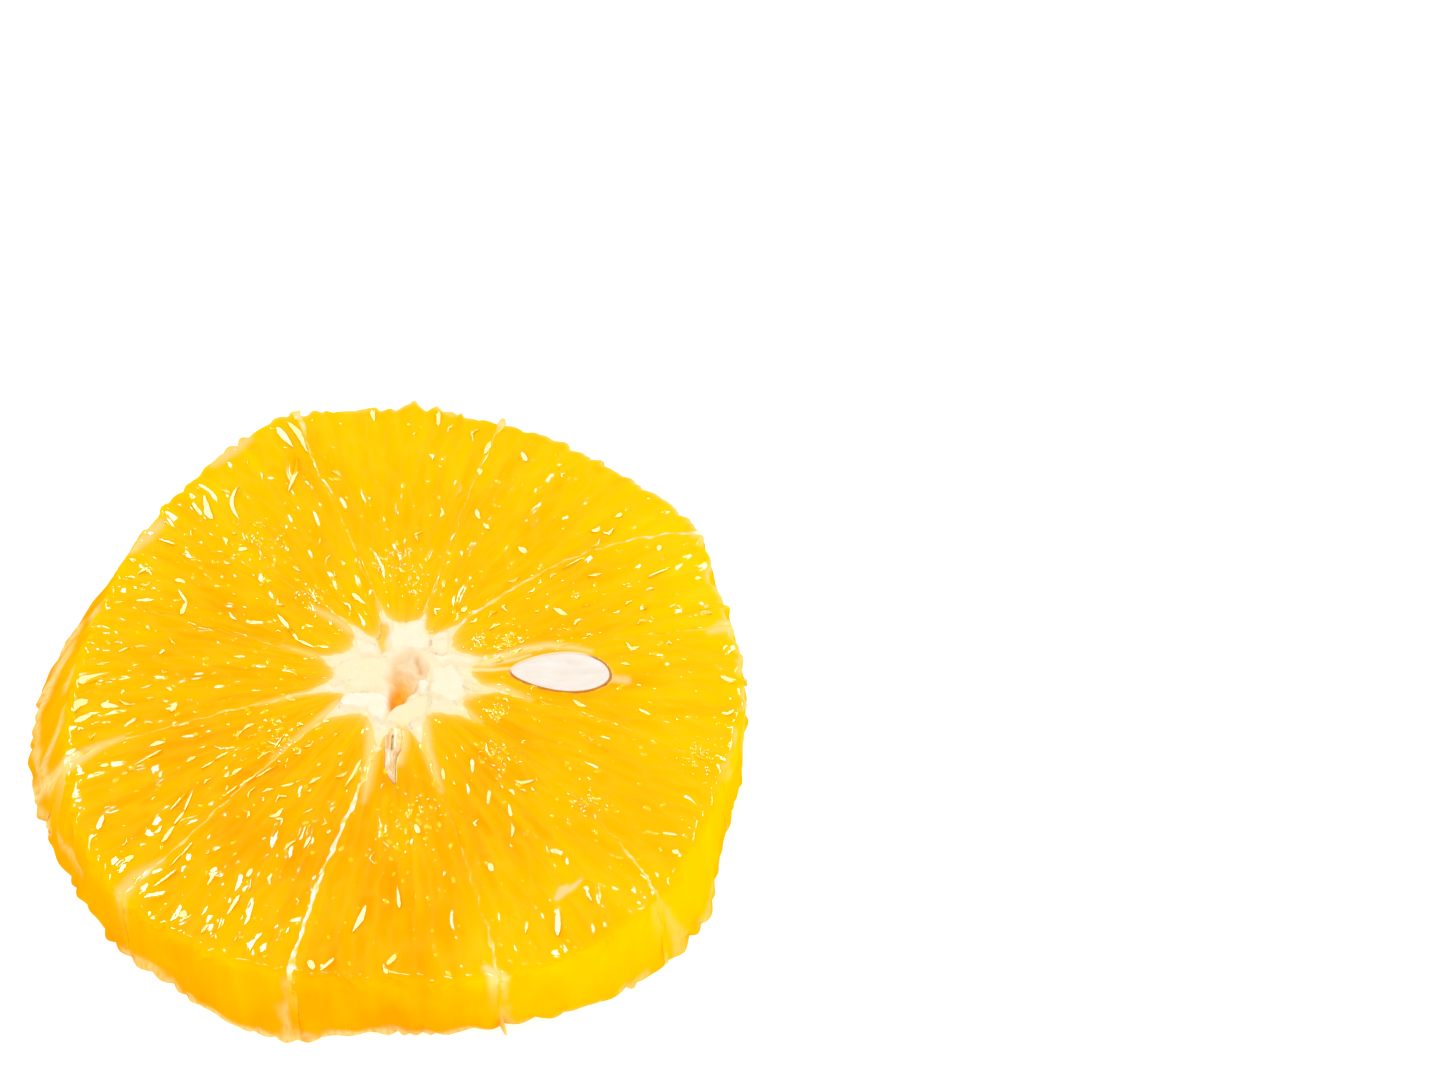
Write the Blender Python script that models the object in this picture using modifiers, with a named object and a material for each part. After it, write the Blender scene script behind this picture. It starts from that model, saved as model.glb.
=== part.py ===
"""A slice of orange, peeled with a knife and cut across the fruit, lying on its underside.

Twelve wedges of flesh stand round a white core of pith, with a thin membrane between each two.
The cut has opened one seed, and beside the core it has laid bare the edge of a thin, flat one.
The origin is on the underside, below the middle of the core. Angles run counter-clockwise
from +X, seen from above.
"""
import math

import bmesh
import bpy
import numpy as np
from mathutils import Matrix, Vector, noise

THICKNESS = 0.011               # from the underside to the cut face
GAP = 0.0003                    # air between two pieces that touch in the fruit
MEMBRANE_THICKNESS = 0.0004
PATH_RADII = (0.008, 0.020, 0.034)      # where the three angles of a membrane are given

# Each membrane: its angle near the core, halfway out and at the rim (degrees), the reach of
# the pith along it, and the reach of the pith to the inner end of the wedge that follows it.
MEMBRANE_PATHS = (
    (14.5, 12.0, 11.0, 0.0088, 0.0062),
    (47.0, 42.0, 32.0, 0.0086, 0.0056),
    (73.5, 75.0, 74.5, 0.0080, 0.0059),
    (104.0, 109.0, 110.5, 0.0084, 0.0050),
    (129.0, 138.5, 147.0, 0.0080, 0.0056),
    (163.5, 162.5, 162.0, 0.0082, 0.0060),
    (193.0, 195.0, 197.0, 0.0090, 0.0053),
    (217.0, 223.0, 225.5, 0.0088, 0.0052),
    (259.5, 256.3, 256.5, 0.0086, 0.0058),
    (290.0, 290.0, 288.8, 0.0084, 0.0054),
    (326.0, 322.5, 317.0, 0.0092, 0.0070),
    (350.0, 346.0, 341.0, 0.0104, 0.0071),
)

# The knife left flat facets. Each corner: its angle, and its distance out at the cut face
# and at the underside.
RIM_CORNERS = (
    (11.0, 0.0334, 0.0347), (21.0, 0.0330, 0.0350), (32.0, 0.0349, 0.0360),
    (42.0, 0.0342, 0.0355), (53.0, 0.0334, 0.0349), (74.5, 0.0337, 0.0352),
    (92.0, 0.0343, 0.0362), (104.0, 0.0352, 0.0370), (114.0, 0.0363, 0.0376),
    (119.0, 0.0354, 0.0375), (129.0, 0.0340, 0.0372), (147.0, 0.0323, 0.0370),
    (162.0, 0.0313, 0.0377), (180.0, 0.0315, 0.0376), (190.0, 0.0323, 0.0372),
    (197.0, 0.0330, 0.0364), (212.0, 0.0342, 0.0356), (225.5, 0.0349, 0.0358),
    (234.0, 0.0349, 0.0350), (247.0, 0.0345, 0.0359), (256.5, 0.0341, 0.0355),
    (262.0, 0.0339, 0.0343), (272.0, 0.0337, 0.0334), (288.8, 0.0355, 0.0346),
    (302.0, 0.0360, 0.0361), (317.0, 0.0362, 0.0373), (328.0, 0.0346, 0.0368),
    (335.0, 0.0341, 0.0349), (341.0, 0.0338, 0.0342), (356.0, 0.0342, 0.0339),
)

# Torn ends of membranes that hang past the rim: membrane number, length, and the height of
# its tip as a share of the thickness.
TORN_ENDS = {3: (0.0009, 0.9), 4: (0.0008, 1.0), 10: (0.0013, 0.1)}
# Torn juice sacs that stick out of the rim: angle, length and half width.
TORN_SACS = ((88.8, 0.0013, 0.0012), (115.0, 0.0008, 0.0010))

SAC_WIDTH, SAC_LENGTH = 0.0017, 0.0055      # a juice sac as the cut shows it
SAC_RELIEF = 0.00045            # how far the sacs stand up from the cut, and sink into it
RIM_RELIEF = 0.00070            # and out of the rim
RIM_NOISE_HEIGHT = 0.0110       # the sacs of the wall run most of the way up it
NOISE_STEP = 3.7                # keeps one wedge's pattern of sacs apart from the next one's
RIM_DROOP = 0.0005              # how much lower the flesh is at the rim than in its middle
DROOP_POWER = 6                 # how late on its way out it sinks
CUSP_POWER = 5                  # how slender the pith's cusps are

ACROSS, ALONG, HIGH = 20, 10, 2         # cells of a wedge: between membranes, outwards, up

SEED_INNER_END = (0.01117, 0.00078)
SEED_OUTER_END = (0.0210, -0.0001)
SEED_WIDTH = 0.0047
SEED_DEPTH = 0.0027             # below the cut face
SEED_COAT_THICKNESS = 0.0003
SLIVER_INNER_END = (0.00035, -0.0069)
SLIVER_OUTER_END = (0.00015, -0.0125)
SLIVER_WIDTH = 0.0011
SLIVER_DEPTH = 0.0022

CLEFT_CENTRE = (0.0008, -0.0007)
CLEFT_HALF_SIZE = (0.0014, 0.0033, 0.0045)
CLEFT_TURN = -14.0              # degrees
SEED_RINGS, SLIVER_RINGS = 18, 12       # how finely their forms are divided
SEED_LEAN, SEED_WAIST = 0.22, 0.10      # how far a seed is fuller outwards, and pinched at its ends

CORE_POINTS_PER_WEDGE = 7
CORE_RINGS = 4
CORE_LUMP_HEIGHT, CORE_LUMP_WIDTH = 0.0004, 0.0016


def make_material(name, colour, roughness):
    material = bpy.data.materials.new(name)
    material.use_nodes = True
    shader = material.node_tree.nodes["Principled BSDF"]
    shader.inputs["Base Color"].default_value = (*colour, 1.0)
    shader.inputs["Roughness"].default_value = roughness
    shader.inputs["Metallic"].default_value = 0.0
    return material


def add_object(name, mesh, material, parent, collection):
    """Give a finished bmesh its name, its material and its place in the fruit."""
    bmesh.ops.recalc_face_normals(mesh, faces=mesh.faces)
    data = bpy.data.meshes.new(name)
    mesh.to_mesh(data)
    mesh.free()
    data.materials.append(material)
    made = bpy.data.objects.new(name, data)
    made.parent = parent
    collection.objects.link(made)
    return made


def cut(target, cutter):
    """Take the cutter's form out of the target."""
    cutter.hide_render = True
    cutter.display_type = "WIRE"
    boolean = target.modifiers.new("cut_" + cutter.name, "BOOLEAN")
    boolean.operation = "DIFFERENCE"
    boolean.object = cutter
    boolean.solver = "EXACT"


def membrane_angle(number, radius):
    """The angle of a membrane at a distance from the core, on a smooth curve through three."""
    near, half, far = PATH_RADII
    at_core, at_half, at_rim = MEMBRANE_PATHS[(number - 1) % 12][:3]
    turns = 360.0 * ((number - 1) // 12)
    degrees = (
        at_core * (radius - half) * (radius - far) / ((near - half) * (near - far))
        + at_half * (radius - near) * (radius - far) / ((half - near) * (half - far))
        + at_rim * (radius - near) * (radius - half) / ((far - near) * (far - half))
    )
    return math.radians(degrees + turns)


def pith_reach(number, share):
    """How far the pith reaches in wedge number, at a share of the way to its far membrane."""
    near_cusp, middle = MEMBRANE_PATHS[(number - 1) % 12][3:]
    far_cusp = MEMBRANE_PATHS[number % 12][3]
    return (middle + (near_cusp - middle) * (1.0 - share) ** CUSP_POWER
            + (far_cusp - middle) * share ** CUSP_POWER)


def rim_radius(angle, level):
    """The knife's facets at an angle, with level 0 at the underside and 1 at the cut face."""
    corners = np.array(RIM_CORNERS)
    degrees = math.degrees(angle)
    at_top = np.interp(degrees, corners[:, 0], corners[:, 1], period=360.0)
    at_base = np.interp(degrees, corners[:, 0], corners[:, 2], period=360.0)
    return float(at_base + (at_top - at_base) * level)


def torn_sacs(angle, radius, level):
    """How far the torn sacs stick out of the rim here."""
    reach = 0.0
    for degrees, length, half_width in TORN_SACS:
        turn = (angle - math.radians(degrees) + math.pi) % math.tau - math.pi
        reach += length * max(0.0, 1.0 - abs(turn) * radius / half_width) * level
    return reach


def sac_noise(across, along, pattern):
    """Uneven bumps, narrow across the wedge and long outwards, from -1 to 1."""
    return noise.noise(Vector((across / SAC_WIDTH, along / SAC_LENGTH, NOISE_STEP * pattern)))


def lattice_box(across, along, high, place):
    """A box of across x along x high cells, with each of its points set by place(u, v, w)."""
    mesh = bmesh.new()
    bmesh.ops.create_cube(mesh, size=1.0)
    for axis, cells in enumerate((across, along, high)):
        lengthwise = [edge for edge in mesh.edges
                      if abs(edge.verts[0].co[axis] - edge.verts[1].co[axis]) > 0.5]
        if cells > 1:
            bmesh.ops.subdivide_edges(mesh, edges=lengthwise, cuts=cells - 1, use_grid_fill=True)
    base = [face for face in mesh.faces if all(point.co.z < -0.49 for point in face.verts)]
    bmesh.ops.dissolve_faces(mesh, faces=base, use_verts=False)
    for point in mesh.verts:
        point.co = place(*(point.co + Vector((0.5, 0.5, 0.5))))
    bmesh.ops.recalc_face_normals(mesh, faces=mesh.faces)
    bmesh.ops.triangulate(mesh, faces=mesh.faces)
    return mesh


def wedge_point(number, u, v, w):
    """A point of a wedge: u from its near membrane to the next, v outwards, w up."""
    side = MEMBRANE_THICKNESS / 2.0 + GAP
    far = PATH_RADII[2]
    rim_angle = (1.0 - u) * membrane_angle(number, far) + u * membrane_angle(number + 1, far)
    outer = rim_radius(rim_angle, w)
    outer += RIM_RELIEF * sac_noise(rim_angle * outer, w * RIM_NOISE_HEIGHT, -number)
    outer += torn_sacs(rim_angle, outer, w)
    inner = pith_reach(number, u) + GAP
    radius = inner + (outer - inner) * v
    near_angle = membrane_angle(number, radius) + side / radius
    far_angle = membrane_angle(number + 1, radius) - side / radius
    angle = (1.0 - u) * near_angle + u * far_angle
    relief = SAC_RELIEF * sac_noise(angle * radius, radius, number) * math.sin(math.pi * v) ** 0.5
    top = THICKNESS - RIM_DROOP * v ** DROOP_POWER + relief
    return Vector((radius * math.cos(angle), radius * math.sin(angle), top * w))


def membrane_point(number, u, v, w):
    """A point of a membrane: u through it, v outwards from the pith, w up."""
    inner = MEMBRANE_PATHS[number - 1][3] + GAP
    outer = rim_radius(membrane_angle(number, PATH_RADII[2]), w)
    length, tip_level = TORN_ENDS.get(number, (0.0, 0.0))
    outer += length * max(0.0, 1.0 - 2.0 * abs(w - tip_level))
    radius = inner + (outer - inner) * v
    angle = membrane_angle(number, radius)
    sideways = (u - 0.5) * MEMBRANE_THICKNESS
    top = THICKNESS - RIM_DROOP * v ** DROOP_POWER
    return Vector((
        radius * math.cos(angle) - sideways * math.sin(angle),
        radius * math.sin(angle) + sideways * math.cos(angle),
        top * w,
    ))


def make_core(material, parent, collection):
    """The star of pith: a capped cylinder drawn out to its cusps, with a lumpy top."""
    mesh = bmesh.new()
    points = 12 * CORE_POINTS_PER_WEDGE
    bmesh.ops.create_cone(mesh, cap_ends=True, segments=points, radius1=1.0, radius2=1.0,
                          depth=1.0)
    for point in mesh.verts:
        point.co.z += 0.5
    top = [face for face in mesh.faces if all(point.co.z > 0.99 for point in face.verts)]
    for _ in range(CORE_RINGS - 1):
        bmesh.ops.inset_region(mesh, faces=top, thickness=1.0 / CORE_RINGS,
                               use_even_offset=True)
    bmesh.ops.poke(mesh, faces=top)
    for point in mesh.verts:
        share = min(1.0, math.hypot(point.co.x, point.co.y))
        turn = math.atan2(point.co.y, point.co.x) % math.tau
        wedge = min(12, int(turn / math.tau * 12.0 + 0.001) + 1)
        across = turn / math.tau * 12.0 - (wedge - 1)
        reach = pith_reach(wedge, across) * share
        near_angle = membrane_angle(wedge, reach)
        far_angle = membrane_angle(wedge + 1, reach)
        angle = near_angle + (far_angle - near_angle) * across
        x, y = reach * math.cos(angle), reach * math.sin(angle)
        lump = CORE_LUMP_HEIGHT * noise.noise(Vector((x, y, 0.0)) / CORE_LUMP_WIDTH)
        lump *= 1.0 - share ** 4
        point.co = Vector((x, y, (THICKNESS + lump) * point.co.z))
    return add_object("core", mesh, material, parent, collection)


def seed_form(length, width, depth, rings):
    """A seed on its side, pointed at its inner end: widest past the middle, along +X."""
    mesh = bmesh.new()
    bmesh.ops.create_uvsphere(mesh, u_segments=rings, v_segments=rings, radius=1.0,
                              matrix=Matrix.Rotation(math.radians(90.0), 4, "Y"))
    for point in mesh.verts:
        x, y, z = point.co
        plump = 1.0 + SEED_LEAN * x - SEED_WAIST * x * x
        point.co = Vector((x * length / 2.0, y * plump * width / 2.0, z * plump * depth))
    return mesh


def halve(mesh, level, closed):
    """Keep what is below a level, with the cut filled or left open."""
    everything = mesh.verts[:] + mesh.edges[:] + mesh.faces[:]
    bmesh.ops.bisect_plane(mesh, geom=everything, plane_co=(0.0, 0.0, level),
                           plane_no=(0.0, 0.0, 1.0), clear_outer=True)
    if closed:
        rim = [edge for edge in mesh.edges if edge.is_boundary]
        face = bmesh.ops.holes_fill(mesh, edges=rim)
        bmesh.ops.triangulate(mesh, faces=face["faces"])


def lay(made, inner_end, outer_end):
    """Lay a seed in the cut face between two points."""
    inner, outer = Vector(inner_end), Vector(outer_end)
    middle = (inner + outer) / 2.0
    direction = outer - inner
    made.location = (middle.x, middle.y, THICKNESS)
    made.rotation_euler = (0.0, 0.0, math.atan2(direction.y, direction.x))


def make_cut_seed(wedge, kernel_material, coat_material, parent, collection, cutters):
    """The opened seed: a thin open coat in a pocket of its wedge, and the kernel in the coat."""
    length = (Vector(SEED_OUTER_END) - Vector(SEED_INNER_END)).length
    pocket_mesh = seed_form(length + 2 * GAP, SEED_WIDTH + 2 * GAP, SEED_DEPTH + GAP,
                            SEED_RINGS)
    pocket = add_object("seed_pocket", pocket_mesh, kernel_material, parent, cutters)
    lay(pocket, SEED_INNER_END, SEED_OUTER_END)
    cut(wedge, pocket)

    coat_mesh = seed_form(length, SEED_WIDTH, SEED_DEPTH, SEED_RINGS)
    halve(coat_mesh, 0.0, closed=False)
    coat = add_object("seed_coat", coat_mesh, coat_material, parent, collection)
    lay(coat, SEED_INNER_END, SEED_OUTER_END)
    wall = coat.modifiers.new("wall", "SOLIDIFY")
    wall.thickness = SEED_COAT_THICKNESS
    wall.offset = -1.0

    inset = SEED_COAT_THICKNESS + GAP
    kernel_mesh = seed_form(length - 2 * inset, SEED_WIDTH - 2 * inset, SEED_DEPTH - inset,
                            SEED_RINGS)
    halve(kernel_mesh, 0.0, closed=True)
    kernel = add_object("seed_kernel", kernel_mesh, kernel_material, parent, collection)
    lay(kernel, SEED_INNER_END, SEED_OUTER_END)


def make_sliver(wedge, material, parent, collection, cutters):
    """The flat, empty seed beside the core, seen on its edge."""
    length = (Vector(SLIVER_OUTER_END) - Vector(SLIVER_INNER_END)).length
    pocket_mesh = seed_form(length + 2 * GAP, SLIVER_WIDTH + 2 * GAP, SLIVER_DEPTH + GAP,
                            SLIVER_RINGS)
    pocket = add_object("sliver_pocket", pocket_mesh, material, parent, cutters)
    lay(pocket, SLIVER_INNER_END, SLIVER_OUTER_END)
    cut(wedge, pocket)

    sliver_mesh = seed_form(length, SLIVER_WIDTH, SLIVER_DEPTH, SLIVER_RINGS)
    halve(sliver_mesh, 0.0, closed=True)
    sliver = add_object("seed_sliver", sliver_mesh, material, parent, collection)
    lay(sliver, SLIVER_INNER_END, SLIVER_OUTER_END)


def make_cleft(core, material, parent, cutters):
    """The blind cleft where the pith has drawn apart, narrowing downwards."""
    mesh = bmesh.new()
    bmesh.ops.create_uvsphere(mesh, u_segments=14, v_segments=8, radius=1.0)
    bmesh.ops.scale(mesh, verts=mesh.verts, vec=CLEFT_HALF_SIZE)
    cleft = add_object("cleft", mesh, material, parent, cutters)
    cleft.location = (*CLEFT_CENTRE, THICKNESS)
    cleft.rotation_euler = (0.0, 0.0, math.radians(CLEFT_TURN))
    cut(core, cleft)


def build():
    for old in list(bpy.data.objects):
        bpy.data.objects.remove(old)

    slice_collection = bpy.data.collections.new("orange_slice")
    cutters = bpy.data.collections.new("cutters")
    bpy.context.scene.collection.children.link(slice_collection)
    bpy.context.scene.collection.children.link(cutters)
    centre = bpy.data.objects.new("slice_centre", None)
    slice_collection.objects.link(centre)

    flesh = make_material("flesh", (1.0, 0.50, 0.005), 0.25)
    skin = make_material("membrane", (1.0, 0.72, 0.22), 0.35)
    pith = make_material("pith", (0.95, 0.88, 0.72), 0.7)
    kernel = make_material("kernel", (0.85, 0.80, 0.72), 0.45)
    coat = make_material("coat", (0.45, 0.20, 0.07), 0.5)

    wedges = {}
    for number in range(1, 13):
        wedge_mesh = lattice_box(
            ACROSS, ALONG, HIGH, lambda u, v, w: wedge_point(number, u, v, w))
        wedges[number] = add_object(
            f"segment_{number:02d}", wedge_mesh, flesh, centre, slice_collection)
        membrane_mesh = lattice_box(
            1, ALONG, HIGH, lambda u, v, w: membrane_point(number, u, v, w))
        add_object(f"membrane_{number:02d}", membrane_mesh, skin, centre, slice_collection)

    core = make_core(pith, centre, slice_collection)
    make_cleft(core, pith, centre, cutters)
    make_cut_seed(wedges[12], kernel, coat, centre, slice_collection, cutters)
    make_sliver(wedges[9], coat, centre, slice_collection, cutters)


build()
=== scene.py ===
"""The looks of a peeled slice of orange, lying on a white table in soft, bright light.

Lengths are in millimetres, and become metres where a thing is made. Angles run
counter-clockwise from +X, seen from above, and the origin is on the table, straight below
the middle of the pith.
"""
import math

import bpy
import numpy as np
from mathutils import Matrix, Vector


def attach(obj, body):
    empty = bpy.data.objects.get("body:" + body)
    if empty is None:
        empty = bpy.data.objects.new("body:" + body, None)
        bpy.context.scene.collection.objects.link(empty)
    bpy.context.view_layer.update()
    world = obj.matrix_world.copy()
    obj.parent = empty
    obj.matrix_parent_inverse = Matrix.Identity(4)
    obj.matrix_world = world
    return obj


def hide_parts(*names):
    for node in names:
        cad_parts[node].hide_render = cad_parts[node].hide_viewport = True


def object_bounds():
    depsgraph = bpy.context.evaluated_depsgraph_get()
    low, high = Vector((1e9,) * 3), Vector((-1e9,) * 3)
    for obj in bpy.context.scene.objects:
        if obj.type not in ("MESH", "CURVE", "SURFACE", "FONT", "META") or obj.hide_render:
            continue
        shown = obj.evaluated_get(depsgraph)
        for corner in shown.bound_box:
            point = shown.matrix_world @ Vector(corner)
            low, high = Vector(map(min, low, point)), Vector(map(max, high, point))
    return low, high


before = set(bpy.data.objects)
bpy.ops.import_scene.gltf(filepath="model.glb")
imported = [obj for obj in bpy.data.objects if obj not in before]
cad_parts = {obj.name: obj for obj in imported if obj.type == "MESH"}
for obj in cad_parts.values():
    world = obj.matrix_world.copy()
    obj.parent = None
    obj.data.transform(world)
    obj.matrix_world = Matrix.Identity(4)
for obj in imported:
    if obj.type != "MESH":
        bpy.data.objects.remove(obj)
cad_low, cad_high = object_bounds()

# ------------------------------------------------------------------ The studio
# A white table under an even white sky, so bright that shadows all but vanish. Small
# softboxes behind and above the fruit are seen only as sharp glints in its juice.
MM = 0.001
CAMERA_PLACE = (31.635, -192.034, 283.385)
CAMERA_PITCH = 37.5             # degrees up from looking straight down
LENS, FILM_WIDTH = 85.0, 36.0

# Each softbox: where it stands, seen from the fruit, its width and height over its
# distance, and its brightness.
SOFTBOXES = {
    "window_left": ((-0.62, 0.5, 0.7), (0.22, 0.34), 26.0),
    "window_above": ((-0.16, 0.02, 1.0), (0.2, 0.2), 24.0),
    "window_right": ((0.38, 0.46, 0.8), (0.16, 0.2), 22.0),
}
SOFTBOX_DISTANCE = 600.0
SOFTBOX_TINT = (1.0, 0.97, 0.88)
SKY_BRIGHTNESS = 1.12
TABLE_SIZE, TABLE_GAP = 3000.0, 0.02
TABLE_GLOW = 0.5                # the table is lit from below too

scene = bpy.context.scene
camera = bpy.data.objects.new("camera", bpy.data.cameras.new("camera"))
camera.data.lens = LENS
camera.data.sensor_width = FILM_WIDTH
camera.location = np.array(CAMERA_PLACE) * MM
camera.rotation_euler = (math.radians(CAMERA_PITCH), 0.0, 0.0)
scene.collection.objects.link(camera)
scene.camera = camera
scene.view_settings.view_transform = "Standard"

sky = bpy.data.worlds.new("white_sky")
sky.use_nodes = True
glow = sky.node_tree.nodes["Background"].inputs
glow["Color"].default_value = (1.0, 1.0, 1.0, 1.0)
glow["Strength"].default_value = SKY_BRIGHTNESS
sky.cycles_visibility.glossy = False
scene.world = sky

softbox_places = []
for name, (direction, (width, height), brightness) in SOFTBOXES.items():
    place = np.array(direction) / np.linalg.norm(direction) * SOFTBOX_DISTANCE
    softbox_places.append(place)
    lamp = bpy.data.lights.new(name, "AREA")
    lamp.shape = "RECTANGLE"
    lamp.size = width * SOFTBOX_DISTANCE * MM
    lamp.size_y = height * SOFTBOX_DISTANCE * MM
    lamp.energy = brightness * math.pi * lamp.size * lamp.size_y
    lamp.color = SOFTBOX_TINT
    softbox = bpy.data.objects.new(name, lamp)
    softbox.location = place * MM
    softbox.rotation_euler = softbox.location.to_track_quat("Z", "Y").to_euler()
    softbox.visible_diffuse = False
    softbox.visible_camera = False
    scene.collection.objects.link(softbox)


def both_ways(operation):
    """An operator of a wire and its reflected form."""
    return (lambda wire, other: wire.maths(operation, wire, other),
            lambda wire, other: wire.maths(operation, other, wire))


class Wire:
    """A socket of a material's nodes. Arithmetic on it adds Math nodes."""

    __add__, __radd__ = both_ways("ADD")
    __sub__, __rsub__ = both_ways("SUBTRACT")
    __mul__, __rmul__ = both_ways("MULTIPLY")

    def __init__(self, tree, socket=None):
        self.tree = tree
        self.socket = socket

    def node(self, kind, settings, inputs, output=0):
        """Any node: its type, its settings, and the values or links of its sockets."""
        made = self.tree.nodes.new(kind)
        for name, value in settings.items():
            if name == "stops":
                set_stops(made.color_ramp.elements, value)
            else:
                setattr(made, name, value)
        for key, value in inputs.items():
            if isinstance(value, Wire):
                self.tree.links.new(value.socket, made.inputs[key])
            else:
                made.inputs[key].default_value = value
        return Wire(self.tree, made.outputs[output]) if made.outputs else None

    def maths(self, operation, first, second, clamped=False):
        settings = {"operation": operation, "use_clamp": clamped}
        return self.node("ShaderNodeMath", settings, {0: first, 1: second})

    def limited(self):
        """Kept between 0 and 1."""
        return self.maths("ADD", self, 0.0, True)

    def ramped(self, stops):
        """A colour between the stops, each a place from 0 to 1 and its colour."""
        return self.node("ShaderNodeValToRGB", {"stops": stops}, {"Fac": self})

    def painted(self, name):
        """A share that the mesh carries from point to point."""
        return self.node("ShaderNodeAttribute", {"attribute_name": name}, {}, "Fac")

    def along_grain(self, across, along, up, detail=2.0):
        """Uneven streaks from 0 to 1, so many to the millimetre each way of the grain."""
        grain = self.node("ShaderNodeAttribute", {"attribute_name": "grain"}, {}, "Vector")
        scaled = self.node("ShaderNodeVectorMath", {"operation": "MULTIPLY"},
                           {0: grain, 1: (across, along, up)})
        return self.node("ShaderNodeTexNoise", {}, {
            "Vector": scaled, "Scale": 1.0, "Detail": detail, "Roughness": 0.5})

    def mixed(self, first, second, share):
        """Two colours, mixed by a share. A Mix node's colours are its sockets 6, 7 and 2."""
        settings = {"data_type": "RGBA", "clamp_factor": True}
        return self.node("ShaderNodeMix", settings, {0: share, 6: first, 7: second}, 2)

    def layered(self, colour, layers):
        """A colour under others, each laid over it by its share."""
        for over, share in layers:
            colour = self.mixed(colour, over, share)
        return colour

    def bumped(self, height, depth, under=None):
        """Fine relief of a depth in millimetres."""
        inputs = {"Height": height, "Distance": depth * MM, "Strength": 1.0}
        if under is not None:
            inputs["Normal"] = under
        return self.node("ShaderNodeBump", {}, inputs)


def set_stops(elements, stops):
    while len(elements) < len(stops):
        elements.new(0.5)
    for element, (place, colour) in zip(elements, stops):
        element.position = place
        element.color = colour


def tone(red, green, blue):
    """A colour as a screen shows it, 0 to 255, as the linear colour of a socket."""
    shares = np.array((red, green, blue)) / 255.0
    linear = np.where(shares <= 0.04045, shares / 12.92, ((shares + 0.055) / 1.055) ** 2.4)
    return (*linear.tolist(), 1.0)


def new_finish(name):
    material = bpy.data.materials.new(name)
    material.use_nodes = True
    material.node_tree.nodes.clear()
    return material, Wire(material.node_tree)


def close_finish(wire, colour, inputs):
    """The surface of a material: dull, unless its sockets say otherwise."""
    inputs = {"Base Color": colour, "Roughness": 0.5, "Specular IOR Level": 0.0, **inputs}
    surface = wire.node("ShaderNodeBsdfPrincipled", {}, inputs, "BSDF")
    wire.node("ShaderNodeOutputMaterial", {}, {"Surface": surface})


table_white, wire = new_finish("table_white")
close_finish(wire, tone(232, 232, 232), {
    "Roughness": 0.6, "Emission Color": (1.0, 1.0, 1.0, 1.0), "Emission Strength": TABLE_GLOW})
bpy.ops.mesh.primitive_plane_add(size=TABLE_SIZE * MM, location=(0.0, 0.0, -TABLE_GAP * MM))
table = bpy.context.object
table.name = "table"
table.data.materials.append(table_white)
table.visible_glossy = False

# ------------------------------------------------------------------ The wedges
# Twelve wedges of flesh, each packed with juice sacs that lie like long drops from the rim
# to the core. The knife has cut across the sacs, so each shows as a wet dome, a flat or a
# hollow, and their skins as fine streaks. Thin skin is left on parts of the peeled wall.
# Light is painted into the flesh's colour too: brighter towards the rim and on the far and right
# sides, with a pale glow along the far rim and the foot of the wall.
CUT_FACE = 11.0
ON_FACE = 0.999                 # shares of the height above this lie on the cut face
WEDGES = 12
SEED_WEDGE = 12                 # the one with the cut seed in it
PATH_RADII = (8.0, 20.0, 34.0)  # where the three angles of a membrane are given

# Each membrane: its angle near the core, halfway out and at the rim, the reach of the pith
# along it, and the reach of the pith to the inner end of the wedge that follows it.
MEMBRANE_PATHS = (
    (14.5, 12.0, 11.0, 8.8, 6.2),
    (47.0, 42.0, 32.0, 8.6, 5.6),
    (73.5, 75.0, 74.5, 8.0, 5.9),
    (104.0, 109.0, 110.5, 8.4, 5.0),
    (129.0, 138.5, 147.0, 8.0, 5.6),
    (163.5, 162.5, 162.0, 8.2, 6.0),
    (193.0, 195.0, 197.0, 9.0, 5.3),
    (217.0, 223.0, 225.5, 8.8, 5.2),
    (259.5, 256.3, 256.5, 8.6, 5.8),
    (290.0, 290.0, 288.8, 8.4, 5.4),
    (326.0, 322.5, 317.0, 9.2, 7.0),
    (350.0, 346.0, 341.0, 10.4, 7.1),
)
MEMBRANE_SWAY = 0.09            # how far a membrane wanders from its smooth path
CUSP_POWER = 5                  # how slender the pith's cusps are
PITH_WAVES, PITH_RAGGED = (17, 29, 41, 67), 0.07        # its torn outline

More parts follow.
